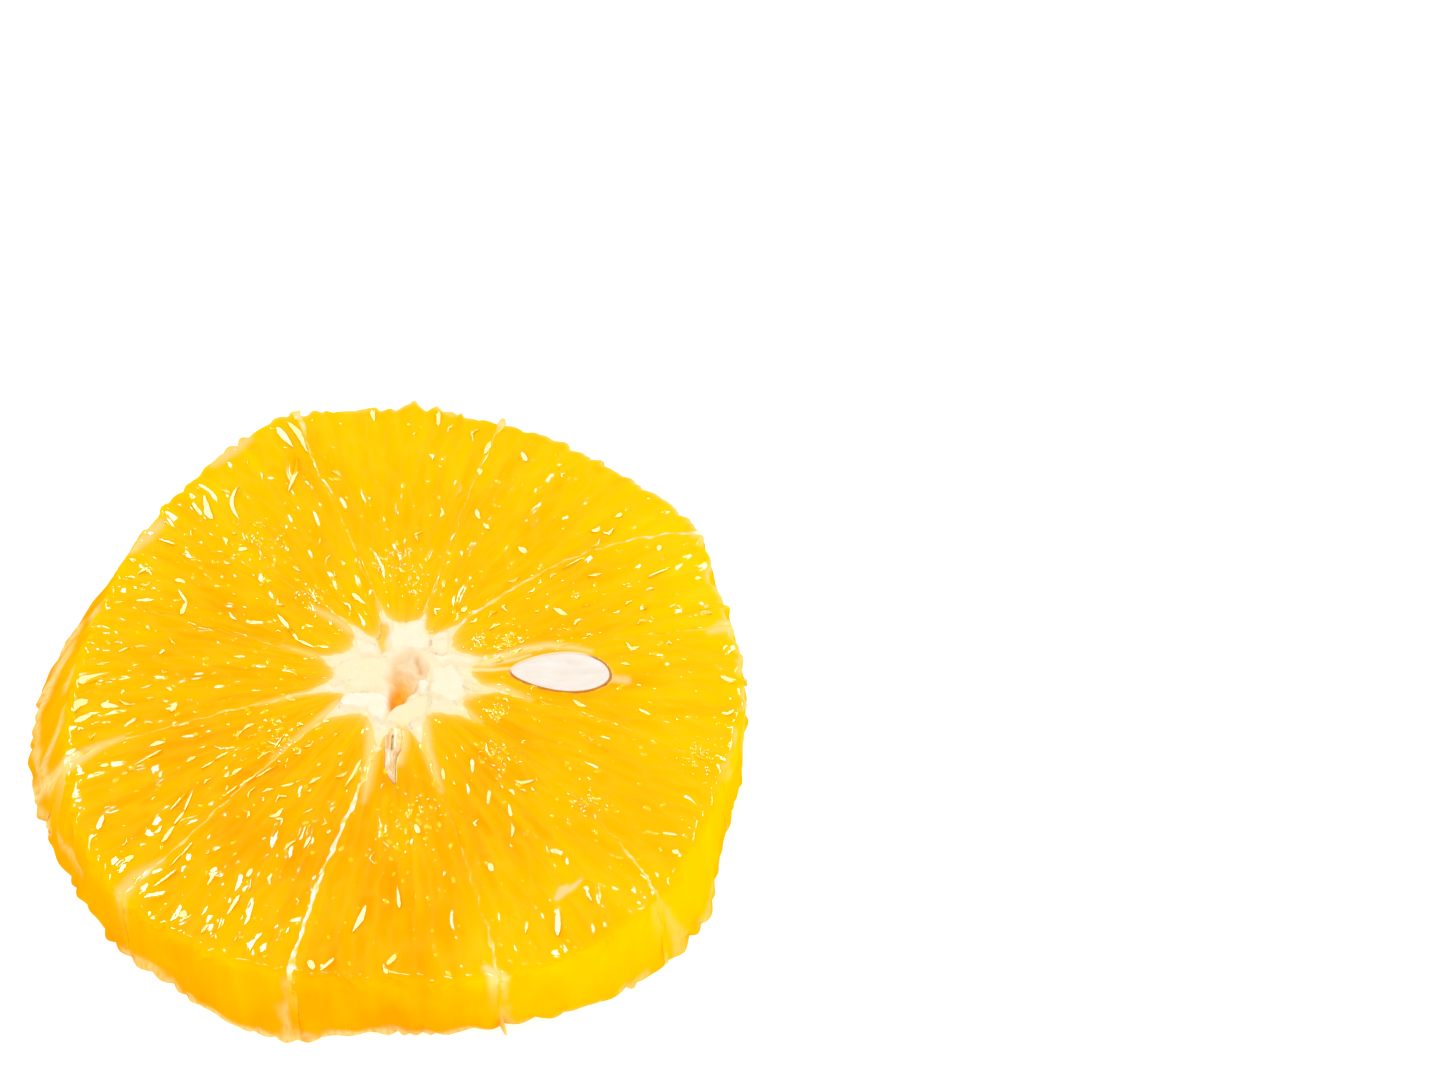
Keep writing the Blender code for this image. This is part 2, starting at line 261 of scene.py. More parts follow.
# Looks of each membrane at distances from the core: distance, thickness, and how pale it is.
MEMBRANE_LOOKS = {
    1: ((6.5, 0.55, 0.8), (10.0, 0.45, 0.6), (15.0, 0.36, 0.4), (19.0, 0.25, 0.15),
        (28.0, 0.22, 0.2), (34.0, 0.5, 0.6)),
    2: ((6.5, 0.6, 0.9), (9.0, 0.45, 0.6), (20.0, 0.38, 0.4), (24.0, 0.45, 0.35),
        (28.0, 0.38, 0.55), (34.0, 0.5, 0.7)),
    3: ((6.0, 0.7, 0.8), (8.5, 0.3, 0.5), (11.0, 0.22, 0.12), (31.5, 0.25, 0.2),
        (33.0, 0.9, 0.4), (34.0, 1.2, 0.6)),
    4: ((6.0, 0.6, 0.7), (8.5, 0.3, 0.4), (12.0, 0.22, 0.15), (28.0, 0.25, 0.2),
        (32.0, 0.5, 0.4), (34.0, 1.0, 0.6)),
    5: ((6.0, 0.6, 0.7), (9.0, 0.34, 0.5), (12.0, 0.26, 0.25), (16.0, 0.22, 0.1),
        (34.0, 0.3, 0.2)),
    6: ((6.0, 0.6, 0.6), (9.0, 0.38, 0.4), (16.0, 0.28, 0.2), (22.0, 0.22, 0.08),
        (34.0, 0.4, 0.2)),
    7: ((6.0, 0.6, 0.8), (9.0, 0.34, 0.6), (20.0, 0.3, 0.3), (26.0, 0.3, 0.25),
        (31.0, 0.55, 0.6), (34.0, 0.9, 0.9)),
    8: ((5.5, 0.6, 0.8), (9.0, 0.34, 0.5), (20.0, 0.28, 0.35), (28.0, 0.34, 0.45),
        (31.0, 0.5, 0.6), (34.0, 0.45, 0.5)),
    # Membrane 9's white strip, from 14.5 to 31 mm out, is a painted highlight along its raised edge
    # as well as its pale colour.
    9: ((5.5, 1.0, 0.9), (9.0, 0.8, 0.5), (13.0, 0.45, 0.45), (14.5, 0.5, 1.0),
        (21.0, 0.5, 1.0), (22.3, 0.35, 0.4), (23.5, 0.48, 1.0), (31.0, 0.52, 1.0),
        (34.0, 0.8, 0.9)),
    10: ((5.5, 0.8, 0.9), (9.0, 0.5, 0.5), (13.0, 0.35, 0.3), (16.0, 0.24, 0.1),
         (29.0, 0.3, 0.2), (31.5, 0.4, 0.5), (34.0, 0.4, 0.5)),
    11: ((6.0, 0.7, 0.8), (9.0, 0.35, 0.3), (12.0, 0.24, 0.08), (27.0, 0.24, 0.1),
         (31.0, 0.4, 0.5), (34.0, 0.5, 0.5)),
    12: ((7.0, 1.3, 1.0), (9.5, 0.9, 0.9), (11.5, 0.5, 0.6), (13.5, 0.25, 0.15),
         (34.0, 0.25, 0.1)),
}

# The peeling knife left flat facets. Each corner: its angle, and its distance out at the cut
# face and at the underside.
RIM_CORNERS = (
    (11.0, 33.4, 34.7), (21.0, 33.0, 35.0), (32.0, 34.9, 36.0), (42.0, 34.2, 35.5),
    (53.0, 33.4, 34.9), (74.5, 33.7, 35.2), (92.0, 34.3, 36.2), (104.0, 35.2, 37.0),
    (114.0, 36.3, 37.6), (119.0, 35.4, 37.5), (129.0, 34.0, 37.2), (147.0, 32.3, 37.0),
    (162.0, 31.3, 37.7), (180.0, 31.5, 37.6), (190.0, 32.3, 37.2), (197.0, 33.0, 36.4),
    (212.0, 34.2, 35.6), (225.5, 34.9, 35.8), (234.0, 34.9, 35.0), (247.0, 34.5, 35.9),
    (256.5, 34.1, 35.5), (262.0, 33.9, 34.3), (272.0, 33.7, 33.4), (288.8, 35.5, 34.6),
    (302.0, 36.0, 36.1), (317.0, 36.2, 37.3), (328.0, 34.6, 36.8), (335.0, 34.1, 34.9),
    (341.0, 33.8, 34.2), (356.0, 34.2, 33.9),
)
# Torn juice sacs that stick out of the rim: angle, length and half width.
TORN_SACS = ((90.5, 1.6, 1.6), (86.6, 0.7, 1.0), (110.6, 0.9, 0.8), (82.0, 0.3, 0.7),
             (54.7, 0.6, 0.5), (15.4, 0.7, 0.35))
RIM_RADIUS = 35.0               # about where the rim is, for lengths along it
# Sac ends along the rim, in rows: width, depth, level of their middle, and the start of
# their random draw.
TOOTH_ROWS = ((1.8, 0.42, 1.0, 3), (3.7, 0.3, 1.0, 4), (2.4, 0.55, 0.0, 5))
TOOTH_LEAN = 0.03               # how unevenly they lean from level to level, in radians
WALL_RELIEF = 0.12
RIM_DROOP, DROOP_POWER = 0.45, 6            # the flesh sinks a little towards the rim
EDGE_DROP, EDGE_WIDTH = 0.15, 0.2           # and its edge is round
SEAM = 0.01                     # from a wedge's side to the middle of the membrane

ACROSS, OUT, UP = 124, 196, 26  # cells of a wedge: between membranes, outwards, up
CORNER_CELLS = 8                # of these, what one face joins to the finely divided wall
AWAY = 1e3                      # farther off than any place of the fruit


def smooth(share):
    """From 0 to 1 with soft ends."""
    share = np.clip(share, 0.0, 1.0)
    return share * share * (3.0 - 2.0 * share)


def bell(off, width):
    """1 where off is 0, and next to 0 at twice the width."""
    return np.exp(-(off / width) ** 2)


def ripples(x, y, wavelength, seed, waves=24):
    """A smooth random field, mostly between -1 and 1: waves of about one length."""
    random = np.random.default_rng(seed)
    turns = random.uniform(0.0, math.tau, waves)
    starts = random.uniform(0.0, math.tau, waves)
    pace = math.tau / (wavelength * random.uniform(0.75, 1.4, waves))
    total = np.zeros(np.shape(x))
    for turn, start, each in zip(turns, starts, pace):
        total += np.cos(each * (x * math.cos(turn) + y * math.sin(turn)) + start)
    return total / math.sqrt(waves)


def brush(x, y, stroke, softness):
    """1 on a stroke and 0 off it. The stroke's points are (x, y, half width)."""
    off = np.full(np.shape(x), AWAY)
    for (ax, ay, aw), (bx, by, bw) in zip(stroke[:-1], stroke[1:]):
        dx, dy = bx - ax, by - ay
        share = np.clip(((x - ax) * dx + (y - ay) * dy) / (dx * dx + dy * dy), 0.0, 1.0)
        far = np.hypot(x - ax - share * dx, y - ay - share * dy)
        off = np.minimum(off, far - (aw + (bw - aw) * share))
    return smooth(0.5 - off / (2.0 * softness))


def brushed(x, y, strokes):
    """The most that any of several strokes lays on: each its strength, softness and points."""
    laid = [strength * brush(x, y, stroke, softness) for strength, softness, stroke in strokes]
    return np.max(laid, axis=0)


def membrane_angle(number, radius):
    """The angle of a membrane, in radians: a curve through its three angles, that sways."""
    near, half, far = PATH_RADII
    turns_round, path = divmod(number - 1, WEDGES)
    at_core, at_half, at_rim = np.array(MEMBRANE_PATHS)[path, :3].T
    degrees = (
        at_core * (radius - half) * (radius - far) / ((near - half) * (near - far))
        + at_half * (radius - near) * (radius - far) / ((half - near) * (half - far))
        + at_rim * (radius - near) * (radius - half) / ((far - near) * (far - half))
    )
    sway = MEMBRANE_SWAY * ripples(radius, 50.0 * path, 3.0, 60)
    return np.radians(degrees + 360.0 * turns_round) + sway / np.maximum(radius, near)


def between_membranes(number, radius, share):
    """The angle at a share of the way from a membrane to the next."""
    return ((1.0 - share) * membrane_angle(number, radius)
            + share * membrane_angle(number + 1, radius))


def membrane_look(number, radius):
    """The thickness of a membrane, and how pale it is."""
    looks = np.array(MEMBRANE_LOOKS[(number - 1) % WEDGES + 1])
    return tuple(np.interp(radius, looks[:, 0], looks[:, look]) for look in (1, 2))


def shown(pale):
    """How clearly a membrane stands out: a clear one is lost between the wedges."""
    return smooth(pale * 2.5 - 0.3)


def pith_reach(number, share):
    """How far the pith reaches in a wedge, at a share of the way to its far membrane."""
    paths = np.array(MEMBRANE_PATHS)
    near_cusp, middle = paths[(number - 1) % WEDGES, 3:].T
    far_cusp = paths[number % WEDGES, 3]
    around = (number - 1 + share) / WEDGES * math.tau
    ragged = sum(np.sin(waves * around + 2.1 * waves) for waves in PITH_WAVES)
    return (middle + (near_cusp - middle) * (1.0 - share) ** CUSP_POWER
            + (far_cusp - middle) * share ** CUSP_POWER + PITH_RAGGED * ragged)


def teeth(turn, width, seed):
    """Bumps of uneven width and height round the rim, from 0 between two to about 1."""
    random = np.random.default_rng(seed)
    count = round(math.tau * RIM_RADIUS / width)
    widths = random.uniform(0.5, 1.5, count)
    starts = np.concatenate(((0.0,), np.cumsum(widths))) / widths.sum() * math.tau
    heights = random.uniform(0.2, 1.15, count)
    turn = np.mod(turn, math.tau)
    tooth = np.clip(np.searchsorted(starts, turn, "right") - 1, 0, count - 1)
    middle = (starts[tooth] + starts[tooth + 1]) / 2.0
    half = (starts[tooth + 1] - starts[tooth]) / 2.0
    return heights[tooth] * (1.0 - np.abs((turn - middle) / half) ** 1.7)


def rim_radius(turn, level):
    """The outline at an angle, with level 0 at the underside and 1 at the cut face."""
    corners = np.array(RIM_CORNERS)
    degrees = np.degrees(turn)
    at_top = np.interp(degrees, corners[:, 0], corners[:, 1], period=360.0)
    at_base = np.interp(degrees, corners[:, 0], corners[:, 2], period=360.0)
    radius = at_base + (at_top - at_base) * level
    lean = turn + TOOTH_LEAN * ripples(level * 3.0, turn * 4.0, 1.0, 11)
    for width, depth, row_level, seed in TOOTH_ROWS:
        near = (1.0 - np.abs(level - row_level)) ** 4
        radius += depth * (teeth(lean, width, seed) - 0.5) * near
    radius += WALL_RELIEF * ripples(turn * RIM_RADIUS, level * 5.0, 3.2, 7)
    for degree, length, half_width in TORN_SACS:
        off = np.mod(turn - math.radians(degree) + math.pi, math.tau) - math.pi
        radius += length * smooth(1.0 - np.abs(off) * RIM_RADIUS / half_width) * level ** 2
    return radius


def closed_lattice(across, out, up):
    """A block's points, as shares u, v and w of its three ways, and its faces.

    Only the cut face and the outer wall are finely divided: the other sides don't show.
    """
    i, j, k = np.meshgrid(range(across + 1), range(out + 1), range(up + 1), indexing="ij")
    hem = (k == 0) & ((i == 0) | (i == across) | (j == 0))
    kept = (k == up) | (j == out) | hem
    index = np.full(kept.shape, -1)
    index[kept] = np.arange(kept.sum())

    def sheet(grid):
        cells = (grid[:-1, :-1], grid[1:, :-1], grid[1:, 1:], grid[:-1, 1:])
        return np.stack(cells, -1).reshape(-1, 4)

    def corner(side):
        return [*side[start:out, 0], *side[out], *side[start:out, up][::-1]]

    start = out - CORNER_CELLS
    ends = [0, up]
    sheets = (sheet(index[:, :, up])[:, ::-1], sheet(index[:, out, :]),
              sheet(index[:, 0, ends])[:, ::-1], sheet(index[0, :start + 1][:, ends]),
              sheet(index[across, :start + 1][:, ends])[:, ::-1])
    faces = np.concatenate(sheets).tolist()
    base = index[:, :, 0]
    faces += [corner(index[0]), corner(index[across])[::-1],
              [*base[:-1, 0], *base[-1, :-1], *base[:0:-1, -1], *base[0, :0:-1]]]
    w = 0.5 - 0.5 * np.cos(math.pi * k[kept] / up)
    return i[kept] / across, j[kept] / out, w, faces


SHARP_ANGLE = 60.0


def make_piece(name, points, faces, finish, marks, node_names):
    """A piece of the slice from its points, kept in the fruit's box, with its painted marks."""
    points = np.clip(np.asarray(points) * MM, cad_low, cad_high)
    mesh = bpy.data.meshes.new(name)
    mesh.from_pydata(points.tolist(), [], faces)
    mesh.shade_smooth()
    mesh.set_sharp_from_angle(angle=math.radians(SHARP_ANGLE))
    for mark, values in marks.items():
        kind = "FLOAT_VECTOR" if np.ndim(values) == 2 else "FLOAT"
        key = "vector" if kind == "FLOAT_VECTOR" else "value"
        attribute = mesh.attributes.new(mark, kind, "POINT")
        attribute.data.foreach_set(key, np.asarray(values, np.float32).ravel())
    mesh.materials.append(finish)
    piece = bpy.data.objects.new(name, mesh)
    scene.collection.objects.link(piece)
    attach(piece, "root")
    if node_names:
        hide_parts(*node_names)
    return piece


SEED_MIDDLE, SEED_TURN = (16.0, 0.27), -3.4
SEED_HALF_LENGTH = 4.85
SEED_HALF_WIDTHS = (2.45, 2.05)             # on its far side and on its near side
SEED_LEAN, SEED_WAIST = 0.22, 0.1           # fuller outwards, and pinched at its ends
SEED_COS, SEED_SIN = math.cos(math.radians(SEED_TURN)), math.sin(math.radians(SEED_TURN))
SEED_POCKET, POCKET_WIDER = 1.5, 0.03       # how deep and how much wider its pocket is


def seed_half_width(along, side):
    """The kernel's half width on one of its sides, at a share of its half length."""
    plump = 1.0 + SEED_LEAN * along - SEED_WAIST * along * along
    return np.where(side > 0.0, *SEED_HALF_WIDTHS) * np.maximum(plump, 0.3)


def seed_share(x, y):
    """0 in the middle of the cut seed, 1 on the kernel's edge."""
    dx, dy = x - SEED_MIDDLE[0], y - SEED_MIDDLE[1]
    along = (dx * SEED_COS + dy * SEED_SIN) / SEED_HALF_LENGTH
    side = dy * SEED_COS - dx * SEED_SIN
    return np.hypot(along, side / seed_half_width(along, side))


SLIVER_TRENCH = 0.18            # how far the flesh sinks under the empty seed
SLIVER_PATH = (                 # the empty seed, as a stroke
    (0.1, -6.2, 0.7), (0.1, -7.2, 0.85), (0.1, -8.6, 0.8), (-0.02, -9.3, 0.6),
    (-0.06, -10.2, 0.56), (0.02, -11.0, 0.5), (0.22, -11.8, 0.34), (0.52, -12.6, 0.05),
)

SAC_TRIES, SAC_APART = 2600, 0.8            # apart in lengths along a sac, widths across it
SAC_RADII = (4.0, 37.0)
SAC_LENGTHS, SAC_WIDTHS = (3.0, 0.085), (0.75, 0.023)       # in the middle, and more per mm out
SAC_LEVEL, SAC_DOME = 0.05, 0.045           # how uneven the cut sacs lie, and their crown
SAC_TILTS = (0.04, 0.09)                    # their slope lengthwise and crosswise
CALM_WEDGES = {3: 0.8, 9: 0.45, 10: 0.7, 11: 0.5, 12: 0.8}       # where the sacs lie more even
SAC_SKIN = 0.21                             # width of the dip where two sacs meet
SAC_WOBBLE = 0.13                           # how unevenly their outlines run


def places_in_sacs(x, y, sacs):
    """Where places are in each sac: in lengths along it and widths across it."""
    dx = np.subtract.outer(x, sacs[:, 0])
    dy = np.subtract.outer(y, sacs[:, 1])
    along = dx * sacs[:, 2] + dy * sacs[:, 3]
    side = dy * sacs[:, 2] - dx * sacs[:, 3]
    return along / sacs[:, 4], side / sacs[:, 5]


def sow_sacs(number):
    """Juice sacs of a wedge: middles, directions, lengths and widths, none too close."""
    random = np.random.default_rng(40 + number)
    radius = np.sqrt(random.uniform(SAC_RADII[0] ** 2, SAC_RADII[1] ** 2, SAC_TRIES))
    share = random.uniform(-0.06, 1.06, SAC_TRIES)
    turn = between_membranes(number, radius, share)
    lean = turn + np.radians(random.normal(0.0, 8.0, SAC_TRIES))
    length = (SAC_LENGTHS[0] + SAC_LENGTHS[1] * radius) * random.uniform(0.65, 1.25, SAC_TRIES)
    width = (SAC_WIDTHS[0] + SAC_WIDTHS[1] * radius) * random.uniform(0.7, 1.35, SAC_TRIES)
    tried = np.stack((radius * np.cos(turn), radius * np.sin(turn), np.cos(lean),
                      np.sin(lean), length, width), 1)
    sacs = tried[:1]
    for sac in tried[1:]:
        if np.hypot(*places_in_sacs(sac[0], sac[1], sacs)).min() > SAC_APART:
            sacs = np.vstack((sacs, sac))
    return sacs


def sac_relief(number, x, y):
    """Height of the cut sacs over the cut face, each sac's tint, and how near its skin is."""
    sacs = sow_sacs(number)
    x = x + SAC_WOBBLE * ripples(x, y, 2.6, 90)
    y = y + SAC_WOBBLE * ripples(x, y, 2.6, 91)
    along, side = places_in_sacs(x, y, sacs)
    far = np.hypot(along, side)
    owner = far.argmin(1)
    own = np.arange(len(x)), owner
    nearest = np.partition(far, 1, axis=1)
    to_skin = (nearest[:, 1] - nearest[:, 0]) * sacs[owner, 5] / 2.0
    random = np.random.default_rng(70 + number)
    level = random.normal(0.0, SAC_LEVEL, len(sacs))[owner]
    lengthwise, crosswise = random.normal(0.0, 1.0, (2, len(sacs)))[:, owner]
    level += SAC_DOME * smooth(to_skin / 0.6)
    level += SAC_TILTS[0] * lengthwise * along[own] * sacs[owner, 4]
    level += SAC_TILTS[1] * crosswise * side[own] * sacs[owner, 5]
    skin = bell(to_skin, SAC_SKIN)
    tint = random.uniform(-1.0, 1.0, len(sacs))[owner]
    return level * (1.0 - skin), tint * (1.0 - skin), skin


# Pale marks on the flesh: strength, softness, and a stroke of (x, y, half width). The cream
# ones are membranes' roots, strands and jelly about the seed; the others, scraps of skin.
CREAM_MARKS = (
    (0.95, 0.5, ((5.2, 2.2, 0.9), (7.0, 1.8, 0.7), (8.9, 1.7, 0.6), (10.4, 2.4, 0.35),
                 (12.5, 3.3, 0.3), (14.8, 3.7, 0.25), (17.0, 3.5, 0.15), (18.9, 3.0, 0.05))),
    (0.9, 0.25, ((8.4, 1.5, 0.4), (10.4, 1.75, 0.2), (11.8, 2.1, 0.15), (13.0, 2.6, 0.05))),
    (1.0, 0.2, ((5.3, 0.9, 0.4), (7.2, 0.8, 0.25), (9.4, 0.75, 0.18), (11.2, 0.95, 0.12))),
    (0.7, 0.6, ((-1.9, -5.2, 0.8), (-1.9, -8.9, 0.5), (-2.1, -12.6, 0.25), (-2.3, -14.6, 0.05))),
    (0.7, 0.5, ((2.7, -5.2, 0.7), (3.4, -8.7, 0.4), (4.2, -10.9, 0.3), (5.0, -13.4, 0.05))),
    (0.75, 0.5, ((5.3, -3.3, 0.5), (6.6, -3.8, 0.3), (8.4, -5.4, 0.05))),
    (0.8, 0.5, ((6.9, -1.9, 1.0), (8.6, -1.5, 0.55), (10.3, -1.4, 0.3), (13.1, -2.8, 0.05))),
    (0.6, 0.4, ((-5.4, -3.1, 0.5), (-8.6, -6.5, 0.15), (-11.5, -9.7, 0.05))),
    (0.6, 0.4, ((-6.3, -1.4, 0.6), (-9.0, -2.1, 0.2), (-13.5, -3.4, 0.05))),
    (0.5, 0.5, ((-5.9, 1.7, 0.5), (-8.0, 2.4, 0.25), (-11.5, 3.6, 0.05))),
    (0.6, 0.5, ((-3.7, 4.6, 0.5), (-6.2, 6.6, 0.35), (-9.0, 8.4, 0.15))),
    (0.55, 0.4, ((-1.3, 5.6, 0.6), (-2.4, 8.9, 0.1))),
    (0.75, 0.6, ((0.3, -5.8, 1.3), (0.4, -8.4, 1.0), (0.7, -10.0, 0.4))),
    (0.65, 0.4, ((-26.0, -7.2, 0.1), (-28.3, -8.2, 0.4), (-30.5, -9.6, 0.8), (-33.0, -10.9, 1.3))),
    (0.45, 0.5, ((-21.0, -21.3, 0.2), (-23.2, -22.9, 0.6), (-24.6, -24.8, 0.7))),
    (0.75, 0.3, ((10.0, -32.6, 0.25), (10.8, -33.3, 0.6), (11.9, -33.8, 0.4), (13.3, -34.1, 0.1))),
    (0.35, 0.4, ((25.7, -26.0, 0.3), (27.0, -25.4, 0.5))),
    (0.6, 0.4, ((30.6, 5.5, 0.2), (32.0, 6.3, 0.7), (33.6, 6.6, 0.9))),
    (0.45, 0.4, ((29.0, 17.8, 0.3), (31.5, 17.4, 0.6))),
    (0.55, 0.4, ((-2.2, 34.2, 0.2), (-0.3, 35.5, 0.3), (2.3, 34.6, 0.3), (3.8, 33.4, 0.1))),
    (0.7, 0.2, ((16.7, -24.6, 0.1), (17.3, -24.0, 0.16))),
)
PEEL_MARKS = (
    (0.75, 0.5, ((-20.4, 26.9, 0.3), (-18.8, 28.6, 0.7), (-17.2, 30.2, 0.4))),
    (0.75, 0.5, ((-27.6, 16.0, 0.5), (-26.4, 17.6, 0.8), (-25.0, 19.3, 0.4))),
    (0.8, 0.3, ((20.9, -0.3, 0.4), (22.4, -0.5, 0.5))),
    (0.8, 0.15, ((11.6, 0.1, 0.05), (12.2, -0.6, 0.12), (13.6, -1.2, 0.03))),
    (1.0, 0.15, ((16.4, -25.3, 0.25), (16.9, -24.5, 0.5), (17.6, -24.3, 0.28),
                 (18.6, -23.3, 0.14))),
)
SEED_HALO = 0.35                # pale skin round the seed's pocket
PITH_HALO = 0.45                # the flesh is pale where it meets the pith
RIM_LIGHT_WIDTH = 0.3              # width of the painted rim light along the far rim
GRAIN_RADIUS = 18.0             # where the streaks are as wide as their finish says
DEEP_FLESH = (                  # where the flesh is deeper orange, as strokes: beside the seed and round the empty seed's tip
    ((12.6, -0.6, 0.3), (15.0, -2.4, 0.5), (18.5, -2.6, 0.4)),
    ((20.0, -1.6, 0.5), (22.5, -0.8, 1.0), (25.0, 0.2, 0.4)),
    ((-0.9, -9.6, 0.2), (-0.6, -12.2, 0.5), (1.0, -13.6, 0.5), (1.0, -11.0, 0.2)),
)

# Scraps of thin outer skin on the wall, as strokes of (degrees, height, half width): strength and
# softness, then the stroke. The strokes along the foot, at heights near 0, are also a painted glow,
# where light shines through the thin edge.
WALL_PEEL_AND_GLOW = (
    (0.8, 0.6, ((162.0, 8.2, 0.8), (166.0, 9.8, 0.7))),
    (0.85, 0.8, ((163.5, 5.0, 0.8), (163.0, 0.3, 1.1))),
    (0.85, 0.9, ((168.0, 4.8, 1.2), (170.5, 3.2, 1.7), (173.5, 1.6, 1.6), (177.0, 0.6, 0.8))),
    (0.7, 0.5, ((176.0, 8.8, 0.6), (178.0, 7.6, 0.5))),
    (0.75, 0.5, ((184.5, 9.2, 0.35), (186.1, 8.0, 0.5), (187.8, 5.3, 0.6), (190.0, 3.6, 0.7))),
    (0.7, 0.5, ((178.0, 0.8, 0.4), (182.0, 1.4, 0.4), (185.3, 2.0, 0.4), (188.8, 2.5, 0.6))),
    (0.9, 0.7, ((197.5, 10.9, 0.8), (194.5, 5.8, 0.9), (191.5, 1.6, 1.1), (191.3, 0.1, 1.1))),
    (0.65, 0.6, ((191.5, 0.2, 0.7), (195.3, 0.8, 0.6), (198.0, 0.5, 0.4))),
    (0.5, 0.7, ((202.0, 2.4, 0.3), (207.7, 4.1, 0.6), (211.0, 4.2, 0.4))),
    (0.4, 0.5, ((209.6, 10.4, 0.3), (208.8, 8.7, 0.3))),
    (0.65, 0.7, ((224.5, 0.8, 0.6), (229.8, 0.7, 1.1), (235.0, 0.3, 0.7))),
    (0.5, 0.5, ((256.3, 10.9, 0.3), (255.6, 7.5, 0.3), (255.0, 4.0, 0.4), (255.2, 0.2, 0.8))),
    (0.35, 0.4, ((288.9, 10.5, 0.15), (289.4, 6.0, 0.1))),
    (0.5, 0.5, ((289.4, 4.0, 0.1), (289.3, 1.5, 0.35), (289.3, 0.0, 0.9))),
    (0.35, 0.5, ((315.5, 10.2, 0.3), (318.0, 5.0, 0.4), (318.5, 1.0, 1.0))),
    (0.5, 0.4, ((307.0, 0.3, 0.5), (311.5, 0.6, 0.6))),
    (0.45, 0.5, ((325.0, 0.6, 0.7), (329.0, 2.0, 0.5))),
    (0.35, 0.6, ((342.0, 9.8, 0.5), (343.5, 8.0, 0.6))),
    (0.35, 0.6, ((353.0, 5.0, 0.5), (360.0, 7.0, 0.5))),
    (0.8, 0.5, ((116.5, 8.8, 0.6), (120.0, 8.3, 1.2), (124.5, 9.2, 1.2), (128.5, 10.4, 0.6))),
    (0.85, 0.6, ((135.5, 4.2, 1.0), (140.0, 5.2, 1.5), (144.0, 6.4, 1.4), (147.5, 7.8, 0.8))),
    (0.88, 0.5, ((238.0, 0.1, 0.4), (250.0, 0.1, 0.6), (262.0, 0.2, 0.8), (273.0, 0.1, 0.6),
                 (285.0, 0.0, 0.35))),
    (0.4, 0.3, ((292.0, 0.0, 0.3), (304.0, 0.0, 0.25))),
    (0.6, 0.7, ((16.0, 0.1, 0.3), (26.0, 1.0, 1.1), (41.0, 0.5, 0.6), (50.0, 1.3, 0.9),
                (61.0, 2.6, 0.1))),
    (0.5, 0.7, ((66.0, 4.0, 0.1), (74.0, 2.6, 0.9), (86.0, 1.7, 1.1), (95.0, 3.2, 0.5),
                (101.0, 5.0, 0.1))),
)


def peel_and_glow_share(turn, height):
    """How pale the wall is painted here: thin skin, and a painted glow along its foot."""
    degrees = np.mod(np.degrees(turn), 360.0)
    step = math.radians(RIM_RADIUS)         # along the wall, for each degree
    along = degrees * step + 0.25 * ripples(turn * RIM_RADIUS, height * 0.6, 3.0, 21)
    up = height + 0.25 * ripples(turn * RIM_RADIUS * 0.5, height, 2.2, 22)
    strokes = [(strength, softness, [(degree * step, *rest) for degree, *rest in stroke])
               for strength, softness, stroke in WALL_PEEL_AND_GLOW]
    patches = 0.85 + 0.35 * ripples(along * 2.0, up * 0.6, 1.0, 23)
    return brushed(along, up, strokes) * np.clip(patches, 0.3, 1.0)


def drooped(v):
    """The level of the cut face at a share of the way out."""
    return CUT_FACE - RIM_DROOP * v ** DROOP_POWER


def rounded(to_rim):
    """How far the edge of the cut face falls off at a distance from the rim."""
    return EDGE_DROP * bell(to_rim, EDGE_WIDTH)


def wall_share(to_rim, w):
    """1 on the peeled wall and 0 on the cut face."""
    return smooth(1.0 - to_rim / 0.4) * (1.0 - w ** 12)


